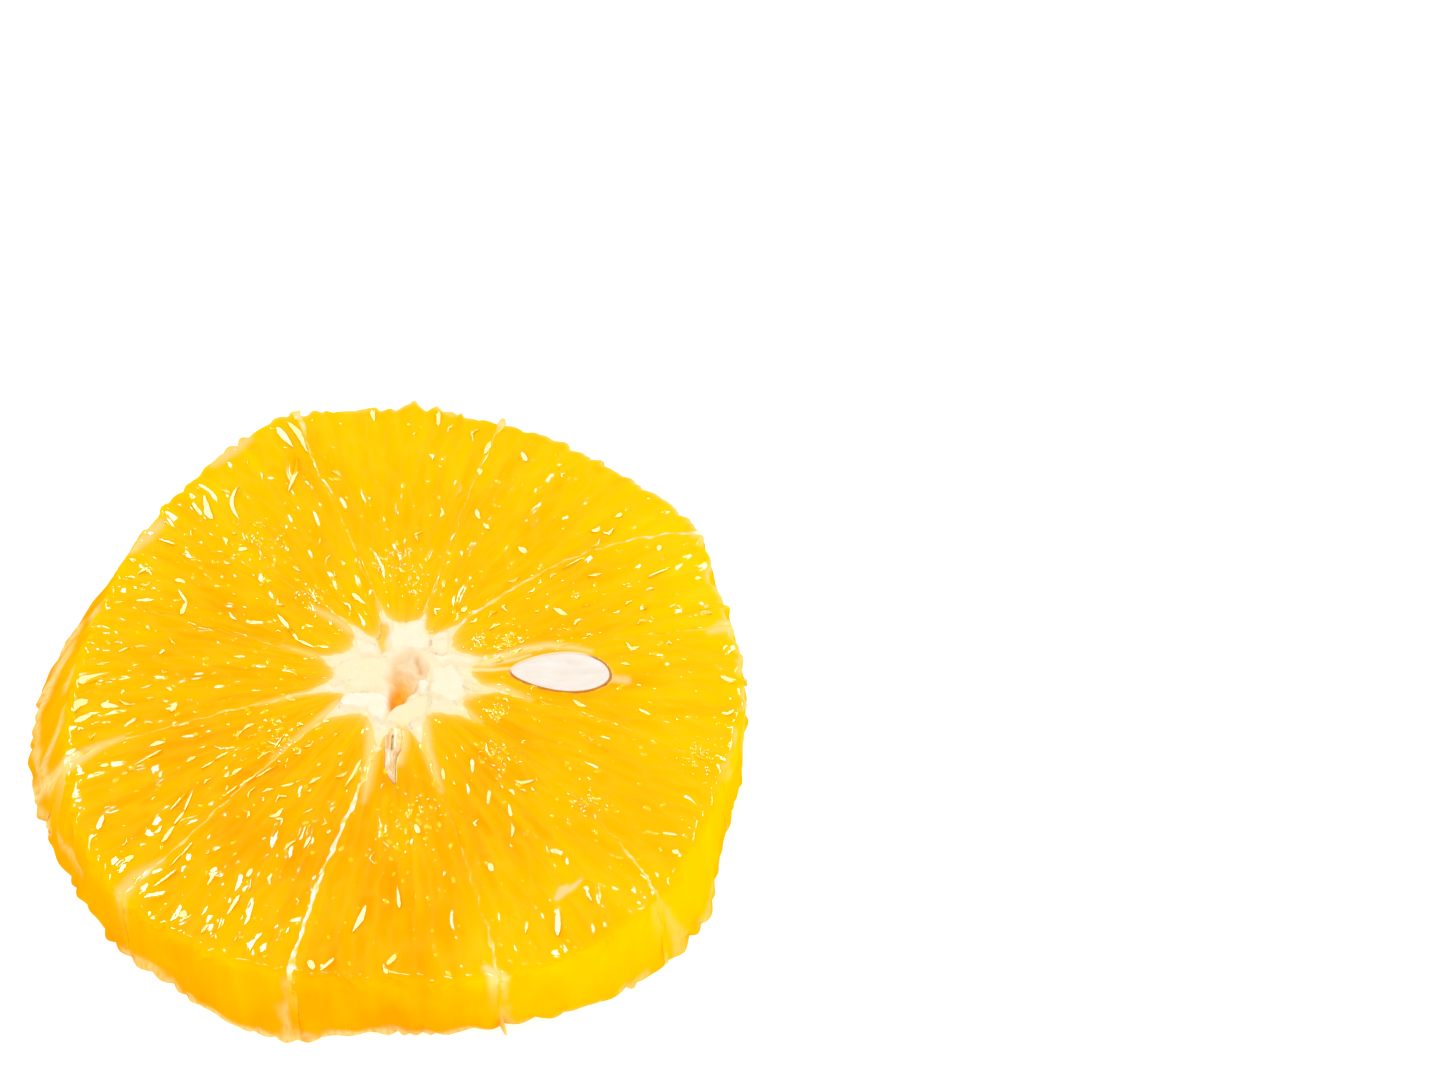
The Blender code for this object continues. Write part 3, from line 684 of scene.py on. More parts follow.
def lay_wedge(number, u, v, w):
    """The points of a wedge, and what is painted on it."""
    near_rim, far_rim = (membrane_angle(n, PATH_RADII[2]) for n in (number, number + 1))
    outer = rim_radius(near_rim + (far_rim - near_rim) * u, w)
    inner = pith_reach(number, u)
    radius = inner + (outer - inner) * v
    near_pale, far_pale = membrane_look(number, radius)[1], membrane_look(number + 1, radius)[1]
    near_side = membrane_angle(number, radius) + SEAM / radius
    far_side = membrane_angle(number + 1, radius) - SEAM / radius
    turn = near_side + (far_side - near_side) * u
    x, y = radius * np.cos(turn), radius * np.sin(turn)
    to_near, to_far = (turn - near_side) * radius, (far_side - turn) * radius
    to_side = np.minimum(to_near, to_far)
    seen = shown(np.where(to_near < to_far, near_pale, far_pale))
    to_rim, to_pith = (1.0 - v) * (outer - inner), v * (outer - inner)

    top = w > ON_FACE
    relief, tint, skin = np.zeros((3, len(u)))
    relief[top], tint[top], skin[top] = sac_relief(number, x[top], y[top])
    calm_rim = 1.3 + 0.6 * ripples(x, y, 3.0, 92)
    relief *= CALM_WEDGES.get(number, 1.0)
    relief *= smooth(to_side / (0.15 + 0.2 * seen)) * smooth(to_pith / 0.8)
    relief *= 0.15 + 0.85 * smooth((to_rim - 0.3) / np.maximum(calm_rim, 0.3))
    relief += 0.012 * ripples(x, y, 1.6, 30 + number) * smooth(to_side / 0.3)
    relief -= rounded(to_rim)
    relief -= SLIVER_TRENCH * brush(x, y, SLIVER_PATH, 0.1)
    if number == SEED_WEDGE:
        relief -= SEED_POCKET * smooth((1.0 + POCKET_WIDER - seed_share(x, y)) / 0.06)
    z = (drooped(v) + relief) * w

    cream = np.maximum(brushed(x, y, CREAM_MARKS) * w ** 4, 0.7 * np.exp(-to_pith / PITH_HALO) * w)
    if number == SEED_WEDGE:
        halo = smooth(1.0 - (seed_share(x, y) - 1.0) * 3.0 / SEED_HALO)
        cream = np.maximum(cream, 0.45 * halo * w ** 4)
    wall = wall_share(to_rim, w)
    # Painted rim light: a pale, patchy band along the far rim's edge, where the light catches it,
    # laid on with the peel.
    painted_rim_light = bell(to_rim, RIM_LIGHT_WIDTH) * smooth((0.8 * x + 0.6 * y + 4.0) / 10.0)
    painted_rim_light *= smooth((y + 14.0) / 6.0) * smooth(w * 40.0 - 39.0)
    painted_rim_light *= np.clip(0.45 + 0.5 * ripples(turn * RIM_RADIUS, 0.0 * turn, 4.5, 93), 0.0, 0.8)
    # The peel mark carries thin skin and painted light: the glow along the wall's foot and the rim
    # light on the far edge.
    peel = brushed(x, y, PEEL_MARKS) * w ** 4
    marks = {
        "cream": cream,
        "peel": np.max((peel, peel_and_glow_share(turn, z) * wall, painted_rim_light), axis=0),
        "grain": np.stack((turn * GRAIN_RADIUS, radius, z), 1),
        "tint": tint,
        "skin_line": skin * smooth(to_rim / 0.8),
        "ripe": tone_and_painted_light(x, y, w, to_rim, wall),
        "wet": smooth((to_rim - 0.15) / 0.5) * smooth(w * 12.0 - 11.0),
    }
    return np.stack((x, y, z), 1), marks


def tone_and_painted_light(x, y, w, to_rim, wall):
    """Tone of the flesh, with painted light: brighter towards the rim, where light shines through
    the thin flesh, and on the fruit's far side and its right, where more light falls. It is also
    brighter near the core and deeper orange along the strokes of DEEP_FLESH; on the wall it is
    brighter to the right and darker towards the foot.
    """
    # Painted light: lighter on the far side and the right, where more light falls, and towards the
    # rim, where light shines through the thin flesh.
    far_side = smooth((0.2 * x + 0.97 * y + 4.0) / 20.0)
    near_side = smooth((-6.0 - y) / 14.0)
    right_side = smooth((0.95 * x - 0.3 * y - 12.0) / 9.0)
    deep = np.max([brush(x, y, stroke, 1.2) for stroke in DEEP_FLESH], axis=0)
    front = near_side * smooth((x + 14.0) / 10.0) * (1.0 - right_side)
    painted_rim_glow = (0.22 - 0.22 * front) * np.clip(1.0 - to_rim / 12.0, 0.0, 1.0)
    inward = 0.13 * np.clip(1.9 - np.hypot(x, y) / 8.0, 0.0, 1.0)
    on_top = 0.2 * far_side - 0.07 * near_side + 0.16 * right_side + painted_rim_glow + inward
    on_wall = 0.42 * smooth((0.95 * x - 0.3 * y - 14.0) / 14.0) - 0.05 - 0.25 * (1.0 - w)
    return on_top * (1.0 - wall) + on_wall * wall - 0.25 * deep


FLESH_STOPS = ((0.0, tone(255, 160, 0)), (0.35, tone(255, 185, 0)), (1.0, tone(255, 214, 0)))
# The peel colour paints thin skin, and the painted glow along the wall's foot and the far rim.
CREAM, PEEL_AND_GLOW = tone(255, 230, 158), tone(254, 216, 138)


def flesh_colour(wire):
    """Orange to golden, in fine streaks along the sacs and in soft, broad clouds, and lighter where
    the mesh carries painted light.
    """
    streaks = (wire.along_grain(1.2, 0.12, 0.12) - 0.5) * (wire.painted("wet") * 0.35 + 0.3)
    clouds = wire.along_grain(0.25, 0.12, 0.1) * 0.5
    share = streaks + clouds + wire.painted("ripe") + wire.painted("tint") * 0.055 + 0.07
    return share.ramped(FLESH_STOPS)


WET = {"Coat Weight": 1.0, "Coat Roughness": 0.03, "Coat IOR": 1.5}         # a film of juice
flesh, wire = new_finish("juicy_flesh")
skin_line = wire.painted("skin_line") * wire.along_grain(2.0, 0.4, 0.4) * 0.2
colour = wire.layered(flesh_colour(wire), (
    (tone(255, 210, 60), skin_line), (CREAM, wire.painted("cream")), (PEEL_AND_GLOW, wire.painted("peel"))))
normal = wire.bumped(wire.along_grain(3.0, 0.55, 0.55, 1.5), 0.016)
normal = wire.bumped(wire.along_grain(5.0, 2.2, 2.2, 1.0), 0.004, normal)
close_finish(wire, colour, {
    **WET, "Coat Weight": wire.painted("wet"), "Normal": normal, "Coat Normal": normal})

u, v, w, faces = closed_lattice(ACROSS, OUT, UP)
laid_wedges = []
for number in range(1, WEDGES + 1):
    points, marks = lay_wedge(number, u, v, w)
    make_piece(f"wedge_{number:02d}", points, faces, flesh, marks,
               [f"segment_{number:02d}"])
    laid_wedges.append(points)

# ------------------------------------------------------------------ The beads of juice
# Burst sacs leave beads of juice and tiny bubbles on the cut face. They are strewn all over
# it, and stand close together in a few places.
BEADS = 900
BEAD_SIZES = (0.08, 0.28)       # half widths
BEAD_STRETCH = (0.9, 1.9)       # most are drawn out along the sacs
BEAD_MARGIN = 0.03              # of a wedge, to be bare along its sides
BEAD_HEIGHT, BEAD_SUNK = 0.36, 0.06         # of its half width
BEAD_SIDES, BEAD_RINGS = 8, 3
# Where they crowd: x, y, half width of the crowd, and how much closer they stand.
BEAD_CROWDS = (
    (10.7, 4.5, 1.2, 40), (7.7, 4.3, 0.7, 30), (9.8, -4.4, 0.8, 40), (10.3, -9.3, 1.2, 25),
    (18.8, -15.0, 1.6, 12), (29.5, -9.5, 1.6, 14), (-9.0, 9.5, 1.3, 20), (-1.0, 14.0, 2.0, 14),
    (1.0, 11.0, 1.4, 14), (-11.0, -8.0, 2.0, 10), (2.6, -17.0, 2.5, 10), (-14.5, 16.5, 2.0, 8),
)


def join_rings(starts, sides, middle, end=None):
    """Faces between rings of points: a fan round a middle point, then band after band.

    The last ring is closed by a fan round an end point, or by one flat face.
    """
    steps = np.arange(sides)
    ahead = (steps + 1) % sides
    first, last = starts[0], starts[-1]
    faces = np.stack((np.full(sides, middle), first + steps, first + ahead), 1).tolist()
    for near, far in zip(starts[:-1], starts[1:]):
        faces += np.stack((near + steps, far + steps, far + ahead, near + ahead), 1).tolist()
    if end is None:
        return faces + [(last + steps[::-1]).tolist()]
    return faces + np.stack((np.full(sides, end), last + ahead, last + steps), 1).tolist()


def lay_beads():
    """Points and faces of every bead: a low dome on a place of the cut face."""
    random = np.random.default_rng(500)
    laid = np.concatenate(laid_wedges)
    x, y = laid[:, 0], laid[:, 1]
    closeness = np.ones(len(laid))
    for middle_x, middle_y, half_width, crowd in BEAD_CROWDS:
        closeness += crowd * bell(np.hypot(x - middle_x, y - middle_y), half_width)
    to_side = np.min((u, 1.0 - u, v, 1.0 - v), axis=0)
    bare = np.tile((w > ON_FACE) & (to_side > BEAD_MARGIN), WEDGES)
    closeness *= bare * (seed_share(x, y) > 1.25) * np.hypot(x, y)
    spots = random.choice(len(laid), BEADS, replace=False, p=closeness / closeness.sum())
    narrow, wide = BEAD_SIZES
    half_widths = narrow + (wide - narrow) * random.uniform(0.0, 1.0, BEADS) ** 2

    turn = np.arange(BEAD_SIDES) / BEAD_SIDES * math.tau
    dome = [(0.0, 0.0, BEAD_HEIGHT)]
    for out in np.arange(1, BEAD_RINGS + 1) / BEAD_RINGS:
        height = BEAD_HEIGHT * (1.0 - out * out) - BEAD_SUNK * out
        dome += [(out * math.cos(each), out * math.sin(each), height) for each in turn]
    lie = np.arctan2(y, x)[spots] + random.normal(0.0, 0.6, BEADS)
    stretch = random.uniform(*BEAD_STRETCH, BEADS)
    ahead = np.stack((np.cos(lie), np.sin(lie), 0.0 * lie), 1)[:, None]
    aside = np.stack((-np.sin(lie), np.cos(lie), 0.0 * lie), 1)[:, None]
    out, over, height = np.array(dome).T[:, None, :, None]
    drop = out * ahead * stretch[:, None, None] + over * aside + height * np.array((0.0, 0.0, 1.0))
    points = laid[spots][:, None] + drop * half_widths[:, None, None]

    one = join_rings(range(1, len(dome), BEAD_SIDES), BEAD_SIDES, 0)
    faces = [[start + corner for corner in face]
             for start in range(0, BEADS * len(dome), len(dome)) for face in one]
    return points.reshape(-1, 3), faces


bead_juice, wire = new_finish("bead_juice")
close_finish(wire, tone(255, 210, 28), WET)
points, faces = lay_beads()
make_piece("juice_beads", points, faces, bead_juice, {}, [])

# ------------------------------------------------------------------ The scraps of sac skin
# Scraps of torn sac skin lie on the cut face, thin, smooth and wet. Each lies tilted towards
# one of the softboxes, so that it shines whole. Crumbs of them lie where the beads crowd.
SCRAPS = (                      # the large ones, each a stroke of (x, y, half width)
    ((-17.5, 23.6, 0.1), (-18.3, 22.0, 0.22), (-17.8, 20.5, 0.14), (-17.0, 19.2, 0.05)),
    ((-21.0, 22.6, 0.15), (-20.4, 20.2, 0.35), (-19.7, 19.4, 0.1)),
    ((-14.3, 31.6, 0.3), (-13.4, 30.3, 0.3), (-12.3, 28.7, 0.05)),
    ((-13.2, 32.3, 0.2), (-11.9, 30.6, 0.28), (-10.7, 27.8, 0.08)),
    ((-11.8, 27.4, 0.05), (-11.8, 25.2, 0.2), (-12.5, 22.7, 0.08)),
    ((-12.3, 7.5, 0.12), (-11.4, 6.2, 0.18), (-10.5, 5.0, 0.05)),
    ((-5.0, 9.8, 0.25), (-3.6, 8.7, 0.12)), ((-16.9, 15.5, 0.25), (-15.9, 15.6, 0.12)),
    ((-22.4, 10.5, 0.1), (-21.4, 8.8, 0.12)), ((-21.4, 9.2, 0.08), (-21.9, 7.3, 0.28)),
    ((-26.6, 9.3, 0.1), (-24.8, 9.4, 0.15)), ((-23.4, 3.0, 0.3), (-23.2, 2.8, 0.25)),
    ((-31.2, -0.5, 0.5), (-30.1, -0.2, 0.35), (-27.6, 0.6, 0.06)),
    ((-31.1, -4.2, 0.12), (-30.9, -3.3, 0.4), (-29.9, -2.6, 0.4)),
    ((-31.1, -5.3, 0.15), (-30.3, -4.9, 0.28), (-29.1, -4.3, 0.12)),
    ((-28.6, -3.4, 0.35), (-26.8, -3.6, 0.08)), ((-31.4, -9.0, 0.25), (-30.5, -8.3, 0.2)),
    ((-26.1, -5.9, 0.1), (-24.9, -5.0, 0.18)), ((-21.7, -4.3, 0.25), (-21.2, -3.0, 0.15)),
    ((-27.4, -17.6, 0.3), (-27.0, -16.0, 0.2)), ((-24.4, -21.2, 0.3), (-23.6, -20.6, 0.2)),
    ((-18.7, -27.3, 0.2), (-18.0, -26.9, 0.45)), ((-14.3, -27.2, 0.1), (-13.2, -25.0, 0.22)),
    ((-16.4, -23.8, 0.1), (-15.8, -22.6, 0.18)), ((-12.7, -23.2, 0.22), (-12.3, -22.2, 0.15)),
    ((-7.6, -20.0, 0.1), (-7.1, -18.6, 0.18)), ((-6.3, -31.9, 0.3), (-5.8, -32.9, 0.3)),
    ((-5.2, -32.9, 0.12), (-3.9, -31.8, 0.2)),
    ((-1.4, -26.1, 0.1), (-1.8, -27.7, 0.28), (-2.5, -29.3, 0.05)),
    ((1.9, -31.0, 0.2), (0.9, -32.6, 0.3)), ((0.6, -32.3, 0.15), (1.0, -33.3, 0.25)),
    ((1.4, -24.1, 0.06), (1.8, -26.6, 0.22)), ((16.5, -26.4, 0.15), (16.6, -29.5, 0.32)),
    ((12.0, -12.3, 0.12), (12.7, -12.6, 0.12), (13.9, -12.3, 0.14)),
    ((7.8, -9.9, 0.25), (7.9, -11.4, 0.08)), ((9.6, -13.4, 0.2), (9.5, -15.0, 0.12)),
    ((11.5, -15.0, 0.08), (11.8, -16.4, 0.2)), ((2.7, -17.2, 0.15), (3.2, -18.4, 0.25)),
    ((10.0, -21.6, 0.25), (10.2, -22.5, 0.25)),
    ((-2.9, -9.9, 0.2), (-3.4, -11.5, 0.2), (-4.3, -13.3, 0.05)),
    ((26.2, -18.0, 0.1), (27.6, -18.3, 0.1)), ((27.1, -20.0, 0.18), (27.8, -20.3, 0.22)),
    ((31.7, 0.1, 0.2), (33.0, -0.6, 0.22)), ((7.0, 26.0, 0.4), (7.0, 25.1, 0.05)),
    ((7.4, 28.0, 0.2), (8.0, 29.6, 0.25)), ((11.2, 28.2, 0.2), (11.8, 27.0, 0.2)),
    ((2.4, 33.6, 0.25), (2.4, 31.8, 0.15)), ((-4.6, 33.9, 0.35), (-4.2, 32.4, 0.05)),
    ((6.8, 20.6, 0.22), (7.3, 19.3, 0.15)), ((7.7, 18.9, 0.12), (8.3, 18.0, 0.2)),
    ((11.3, 15.8, 0.15), (12.2, 15.2, 0.35)), ((24.0, 8.4, 0.3), (24.1, 7.9, 0.35)),
    ((25.3, 15.9, 0.25), (25.8, 15.7, 0.22)), ((21.0, 19.8, 0.08), (21.7, 20.1, 0.25)),
    ((6.0, 7.7, 0.3), (6.5, 8.4, 0.12)), ((-18.1, -11.0, 0.06), (-15.7, -8.9, 0.11)),
    ((-21.0, -19.3, 0.2), (-20.1, -17.3, 0.09), (-19.3, -15.7, 0.12), (-18.7, -13.2, 0.05)),
    ((-20.7, -15.7, 0.06), (-19.2, -13.7, 0.12)),
    ((-15.6, -13.9, 0.06), (-13.8, -12.5, 0.12), (-10.7, -10.5, 0.05)),
    ((-21.4, -24.0, 0.08), (-19.3, -22.3, 0.12)), ((-20.1, -21.9, 0.06), (-18.2, -19.3, 0.1)),
    ((-24.6, -10.4, 0.05), (-22.0, -8.8, 0.1)),
    ((-11.0, 5.6, 0.1), (-9.9, 4.1, 0.13), (-8.3, 3.4, 0.05)),
    ((-25.1, 17.1, 0.06), (-23.3, 16.1, 0.1)), ((15.9, 13.0, 0.06), (18.2, 14.9, 0.09)),
    ((24.5, 12.0, 0.06), (26.7, 13.4, 0.09)),
)
# How many smaller ones each wedge has: in its inner half and in its outer half.
SCRAP_COUNTS = ((18, 9), (6, 5), (3, 10), (6, 12), (8, 10), (0, 22), (16, 12), (24, 11),
                (2, 2), (11, 4), (1, 1), (3, 6))
SCRAP_ZONES = ((8.5, 20.0), (20.0, 33.0))
SCRAP_HALF_LENGTHS, SCRAP_HALF_WIDTHS = (0.2, 0.85), (0.07, 0.19)
SCRAP_TRIES = 200               # for a place of its own
SCRAP_APART, SCRAP_MARGIN = 1.0, 1.3        # from each other, and from the rim
CRUMB_COUNT, CRUMB_HALF_LENGTH, CRUMB_HALF_WIDTH = 300, 0.16, 0.055
SCRAP_STEPS, SCRAP_LIFT, SCRAP_ROOT = 6, 0.04, 0.3
SCRAP_SECTION = (-1.0, -1.0, 0.0, 1.0, 1.0)     # across it: root, edge, crown, edge, root
SCRAP_RISE = 0.3                # a scrap that would rise by more is torn into several
PART_LEFT = 0.95                # and this share of each is left
STRONG_GLEAM, WEAK_GLEAM = (0.42, 0.75), (0.16, 0.64)       # of the large ones and crumbs; others


def facing(softbox_place, place):
    """The slopes of a flat that shows a softbox's reflection to the camera."""
    to_softbox, to_camera = softbox_place - place, np.array(CAMERA_PLACE) - place
    between = to_softbox / np.linalg.norm(to_softbox) + to_camera / np.linalg.norm(to_camera)
    return -between[:2] / between[2]


def in_rim(turn):
    """How far out a scrap may lie."""
    return rim_radius(np.array([turn]), np.ones(1))[0] - SCRAP_MARGIN


def strew_scraps():
    """Strokes of the smaller scraps and the crumbs."""
    random = np.random.default_rng(600)
    places = [np.mean(stroke, axis=0)[:2] for stroke in SCRAPS]
    sizes, strewn = [], []
    for number in range(1, WEDGES + 1):
        for (near, far), count in zip(SCRAP_ZONES, SCRAP_COUNTS[number - 1]):
            wanted = len(sizes) + count
            for _ in range(SCRAP_TRIES):
                if len(sizes) == wanted:
                    break
                radius = math.sqrt(random.uniform(near ** 2, far ** 2))
                turn = between_membranes(number, radius, random.uniform(0.05, 0.95))
                place = radius * np.array((math.cos(turn), math.sin(turn)))
                apart = np.hypot(*(np.array(places) - place).T).min()
                if apart > SCRAP_APART and radius < in_rim(turn) and seed_share(*place) > 1.3:
                    places.append(place)
                    size = random.uniform(0.0, 1.0) ** 1.5
                    sizes.append((turn + random.normal(0.0, 0.35), size))
    places = places[len(SCRAPS):]
    for crumb in range(CRUMB_COUNT):
        middle_x, middle_y, spread, crowd = BEAD_CROWDS[crumb % len(BEAD_CROWDS)]
        place = np.array((middle_x, middle_y)) + random.normal(0.0, 0.7 * spread, 2)
        reach = in_rim(np.arctan2(place[1], place[0]))
        places.append(place * min(1.0, reach / np.hypot(*place)))
        sizes.append((random.uniform(0.0, math.pi), None))
    for place, (turn, size) in zip(places, sizes):
        ahead = np.array((math.cos(turn), math.sin(turn)))
        if size is None:
            half_length = CRUMB_HALF_LENGTH * random.uniform(0.5, 1.3)
            half_width = CRUMB_HALF_WIDTH * random.uniform(0.7, 1.3)
        else:
            half_length = SCRAP_HALF_LENGTHS[0] + size * np.ptp(SCRAP_HALF_LENGTHS)
            half_width = random.uniform(*SCRAP_HALF_WIDTHS) * (0.7 + 0.5 * size)
        bend = random.normal(0.0, 0.4) * half_length * np.array((-ahead[1], ahead[0]))
        ends = random.uniform(0.15, 0.75, 2) * half_width
        strewn.append(((*(place - half_length * ahead), ends[0]), (*(place + bend), half_width),
                       (*(place + half_length * ahead), ends[1])))
    return strewn


def lay_scrap(stroke, slope, face, crown):
    """A scrap's points: a thin plate whose top is a tilted flat, rooted in the flesh."""
    stroke = np.array(stroke)
    steps = np.linspace(0.0, len(stroke) - 1.0, SCRAP_STEPS + 1)
    x, y, half = (np.interp(steps, np.arange(len(stroke)), values) for values in stroke.T)
    half = half * (1.0 - 0.8 * np.linspace(-1.0, 1.0, SCRAP_STEPS + 1) ** 4)
    ahead_x, ahead_y = np.gradient(x), np.gradient(y)
    size = np.hypot(ahead_x, ahead_y)
    across = np.array(SCRAP_SECTION)
    px = x[:, None] - np.outer(half * ahead_y / size, across)
    py = y[:, None] + np.outer(half * ahead_x / size, across)
    rise = slope[0] * (px - x.mean()) + slope[1] * (py - y.mean())
    lift = SCRAP_LIFT + min(0.5 * np.ptp(rise), 0.2)
    pz = face + lift + rise + np.outer(half, crown * (1.0 - across ** 2))
    pz[:, [0, 4]] = face - SCRAP_ROOT
    return np.stack((px, py, pz), -1).reshape(-1, 3)


def lay_scraps():
    """The points and faces of all scraps, and how brightly each gleams."""
    random = np.random.default_rng(700)
    laid = np.concatenate([points[w > ON_FACE] for points in laid_wedges])
    points, faces, gleams, one = [], [], [], []
    around = len(SCRAP_SECTION)
    for start in range(0, SCRAP_STEPS * around, around):
        for side in range(around):
            a, b = start + side, start + (side + 1) % around
            one.append([b, a, a + around, b + around])
    one += [[*range(around)], [SCRAP_STEPS * around + side for side in reversed(range(around))]]
    strokes = (*SCRAPS, *strew_scraps())
    for count, stroke in enumerate(strokes):
        middle = np.mean(stroke, axis=0)
        place = laid[np.hypot(laid[:, 0] - middle[0], laid[:, 1] - middle[1]).argmin()]
        ahead = np.subtract(stroke[-1], stroke[0])[:2]
        slopes = [facing(each, place) + random.normal(0.0, 0.015, 2) for each in softbox_places]
        climbs = [abs(np.dot(slope, ahead)) / np.hypot(*ahead) + random.uniform(0.0, 0.12)
                  for slope in slopes]
        slope = slopes[np.argmin(climbs)]
        strong = count < len(SCRAPS) or count >= len(strokes) - CRUMB_COUNT
        gleam = random.uniform(*(STRONG_GLEAM if strong else WEAK_GLEAM))
        parts = max(1, round(abs(np.dot(slope, ahead)) / SCRAP_RISE))
        for part in range(parts):
            steps = np.linspace(part / parts, (part + PART_LEFT) / parts, 5) * (len(stroke) - 1)
            torn = [np.interp(steps, np.arange(len(stroke)), knots) for knots in zip(*stroke)]
            start = len(points) * (SCRAP_STEPS + 1) * around
            crown = random.uniform(0.0, 0.05)
            points.append(lay_scrap(np.transpose(torn), slope, place[2], crown))
            faces += [[start + corner for corner in face] for face in one]
            gleams += [gleam] * len(points[-1])
    return np.concatenate(points), faces, {"gleam": gleams}


wet_skin, wire = new_finish("wet_skin")
close_finish(wire, tone(254, 196, 8), {**WET, "Coat Weight": wire.painted("gleam")})
points, faces, marks = lay_scraps()
make_piece("skin_scraps", points, faces, wet_skin, marks, [])

# ------------------------------------------------------------------ The membranes
# Thin skins between the wedges, grown out of the pith and cut flush with the face. Most are
# as clear as the flesh, some show as cream lines, and two hang past the rim where they tore.
RIDGE = 0.05                    # how far a membrane's middle stands up from its edges
ROOT_LENGTH, ROOT_DEPTH = 1.4, 0.4          # where it dives into the pith
TORN_ENDS = {3: (0.9, 1.0), 10: (1.2, 0.0)}     # length, level of the tip
MEMBRANE_ACROSS, MEMBRANE_OUT, MEMBRANE_UP = 8, 200, 16


def lay_membrane(number, u, v, w):
    """The points of a membrane, and what is painted on it."""
    inner = MEMBRANE_PATHS[number - 1][3] - 1.2
    outer = rim_radius(np.full(len(w), membrane_angle(number, PATH_RADII[2])), w) + 0.02
    length, tip_level = TORN_ENDS.get(number, (0.0, 0.0))
    tip = smooth(1.0 - 4.0 * np.abs(w - tip_level)) * (1.0 - (2.0 * u - 1.0) ** 4)
    outer += length * tip
    radius = inner + (outer - inner) * v
    thick, pale = membrane_look(number, radius)
    thick = thick * (1.0 + 0.25 * ripples(radius, w * 5.0, 2.2, 50 + number))
    turn = membrane_angle(number, radius)
    side = (u - 0.5) * thick
    crown = 1.0 - (2.0 * u - 1.0) ** 2
    to_rim = (1.0 - v) * (outer - inner)
    top = drooped(v) - 0.05 + 0.02 * shown(pale)
    top += (RIDGE + 0.03 * pale) * crown + 0.02 * ripples(radius, u, 0.9, 80 + number)
    top -= ROOT_DEPTH * (1.0 - smooth((radius - inner) / ROOT_LENGTH))
    top -= rounded(to_rim)
    x = radius * np.cos(turn) - side * np.sin(turn)
    y = radius * np.sin(turn) + side * np.cos(turn)
    wall = wall_share(to_rim, w)
    uneven = 1.0 + 0.35 * ripples(radius, w * 3.0, 1.5, 20 + number)
    marks = {
        "grain": np.stack((side + 30.0 * number, radius, top * w), 1),
        "pale": np.clip(pale * uneven, 0.0, 1.0) * (1.0 - wall),
        # Thin skin on the wall, with the painted glow along its foot, and the torn tip.
        "peel": np.maximum(peel_and_glow_share(turn, top * w) * wall, 0.8 * tip * v ** 30),
        "ripe": tone_and_painted_light(x, y, w, to_rim, wall),
        "wet": (1.0 - wall) * smooth(to_rim / 0.5),
    }
    return np.stack((x, y, top * w), 1), marks


membrane_skin, wire = new_finish("membrane_skin")
pale = wire.painted("pale")
colour = wire.layered(flesh_colour(wire), (
    (tone(255, 218, 100), (pale * 2.0).limited()),
    (tone(255, 243, 212), (pale * 2.0 - 1.0).limited()), (PEEL_AND_GLOW, wire.painted("peel"))))
normal = wire.bumped(wire.along_grain(4.0, 0.9, 0.9), 0.02)
close_finish(wire, colour, {
    **WET, "Coat Weight": wire.painted("wet") * 0.6, "Coat Roughness": 0.05, "Normal": normal})

u, v, w, faces = closed_lattice(MEMBRANE_ACROSS, MEMBRANE_OUT, MEMBRANE_UP)
for number in range(1, WEDGES + 1):
    points, marks = lay_membrane(number, u, v, w)
    make_piece(f"septum_{number:02d}", points, faces, membrane_skin, marks,
               [f"membrane_{number:02d}"])

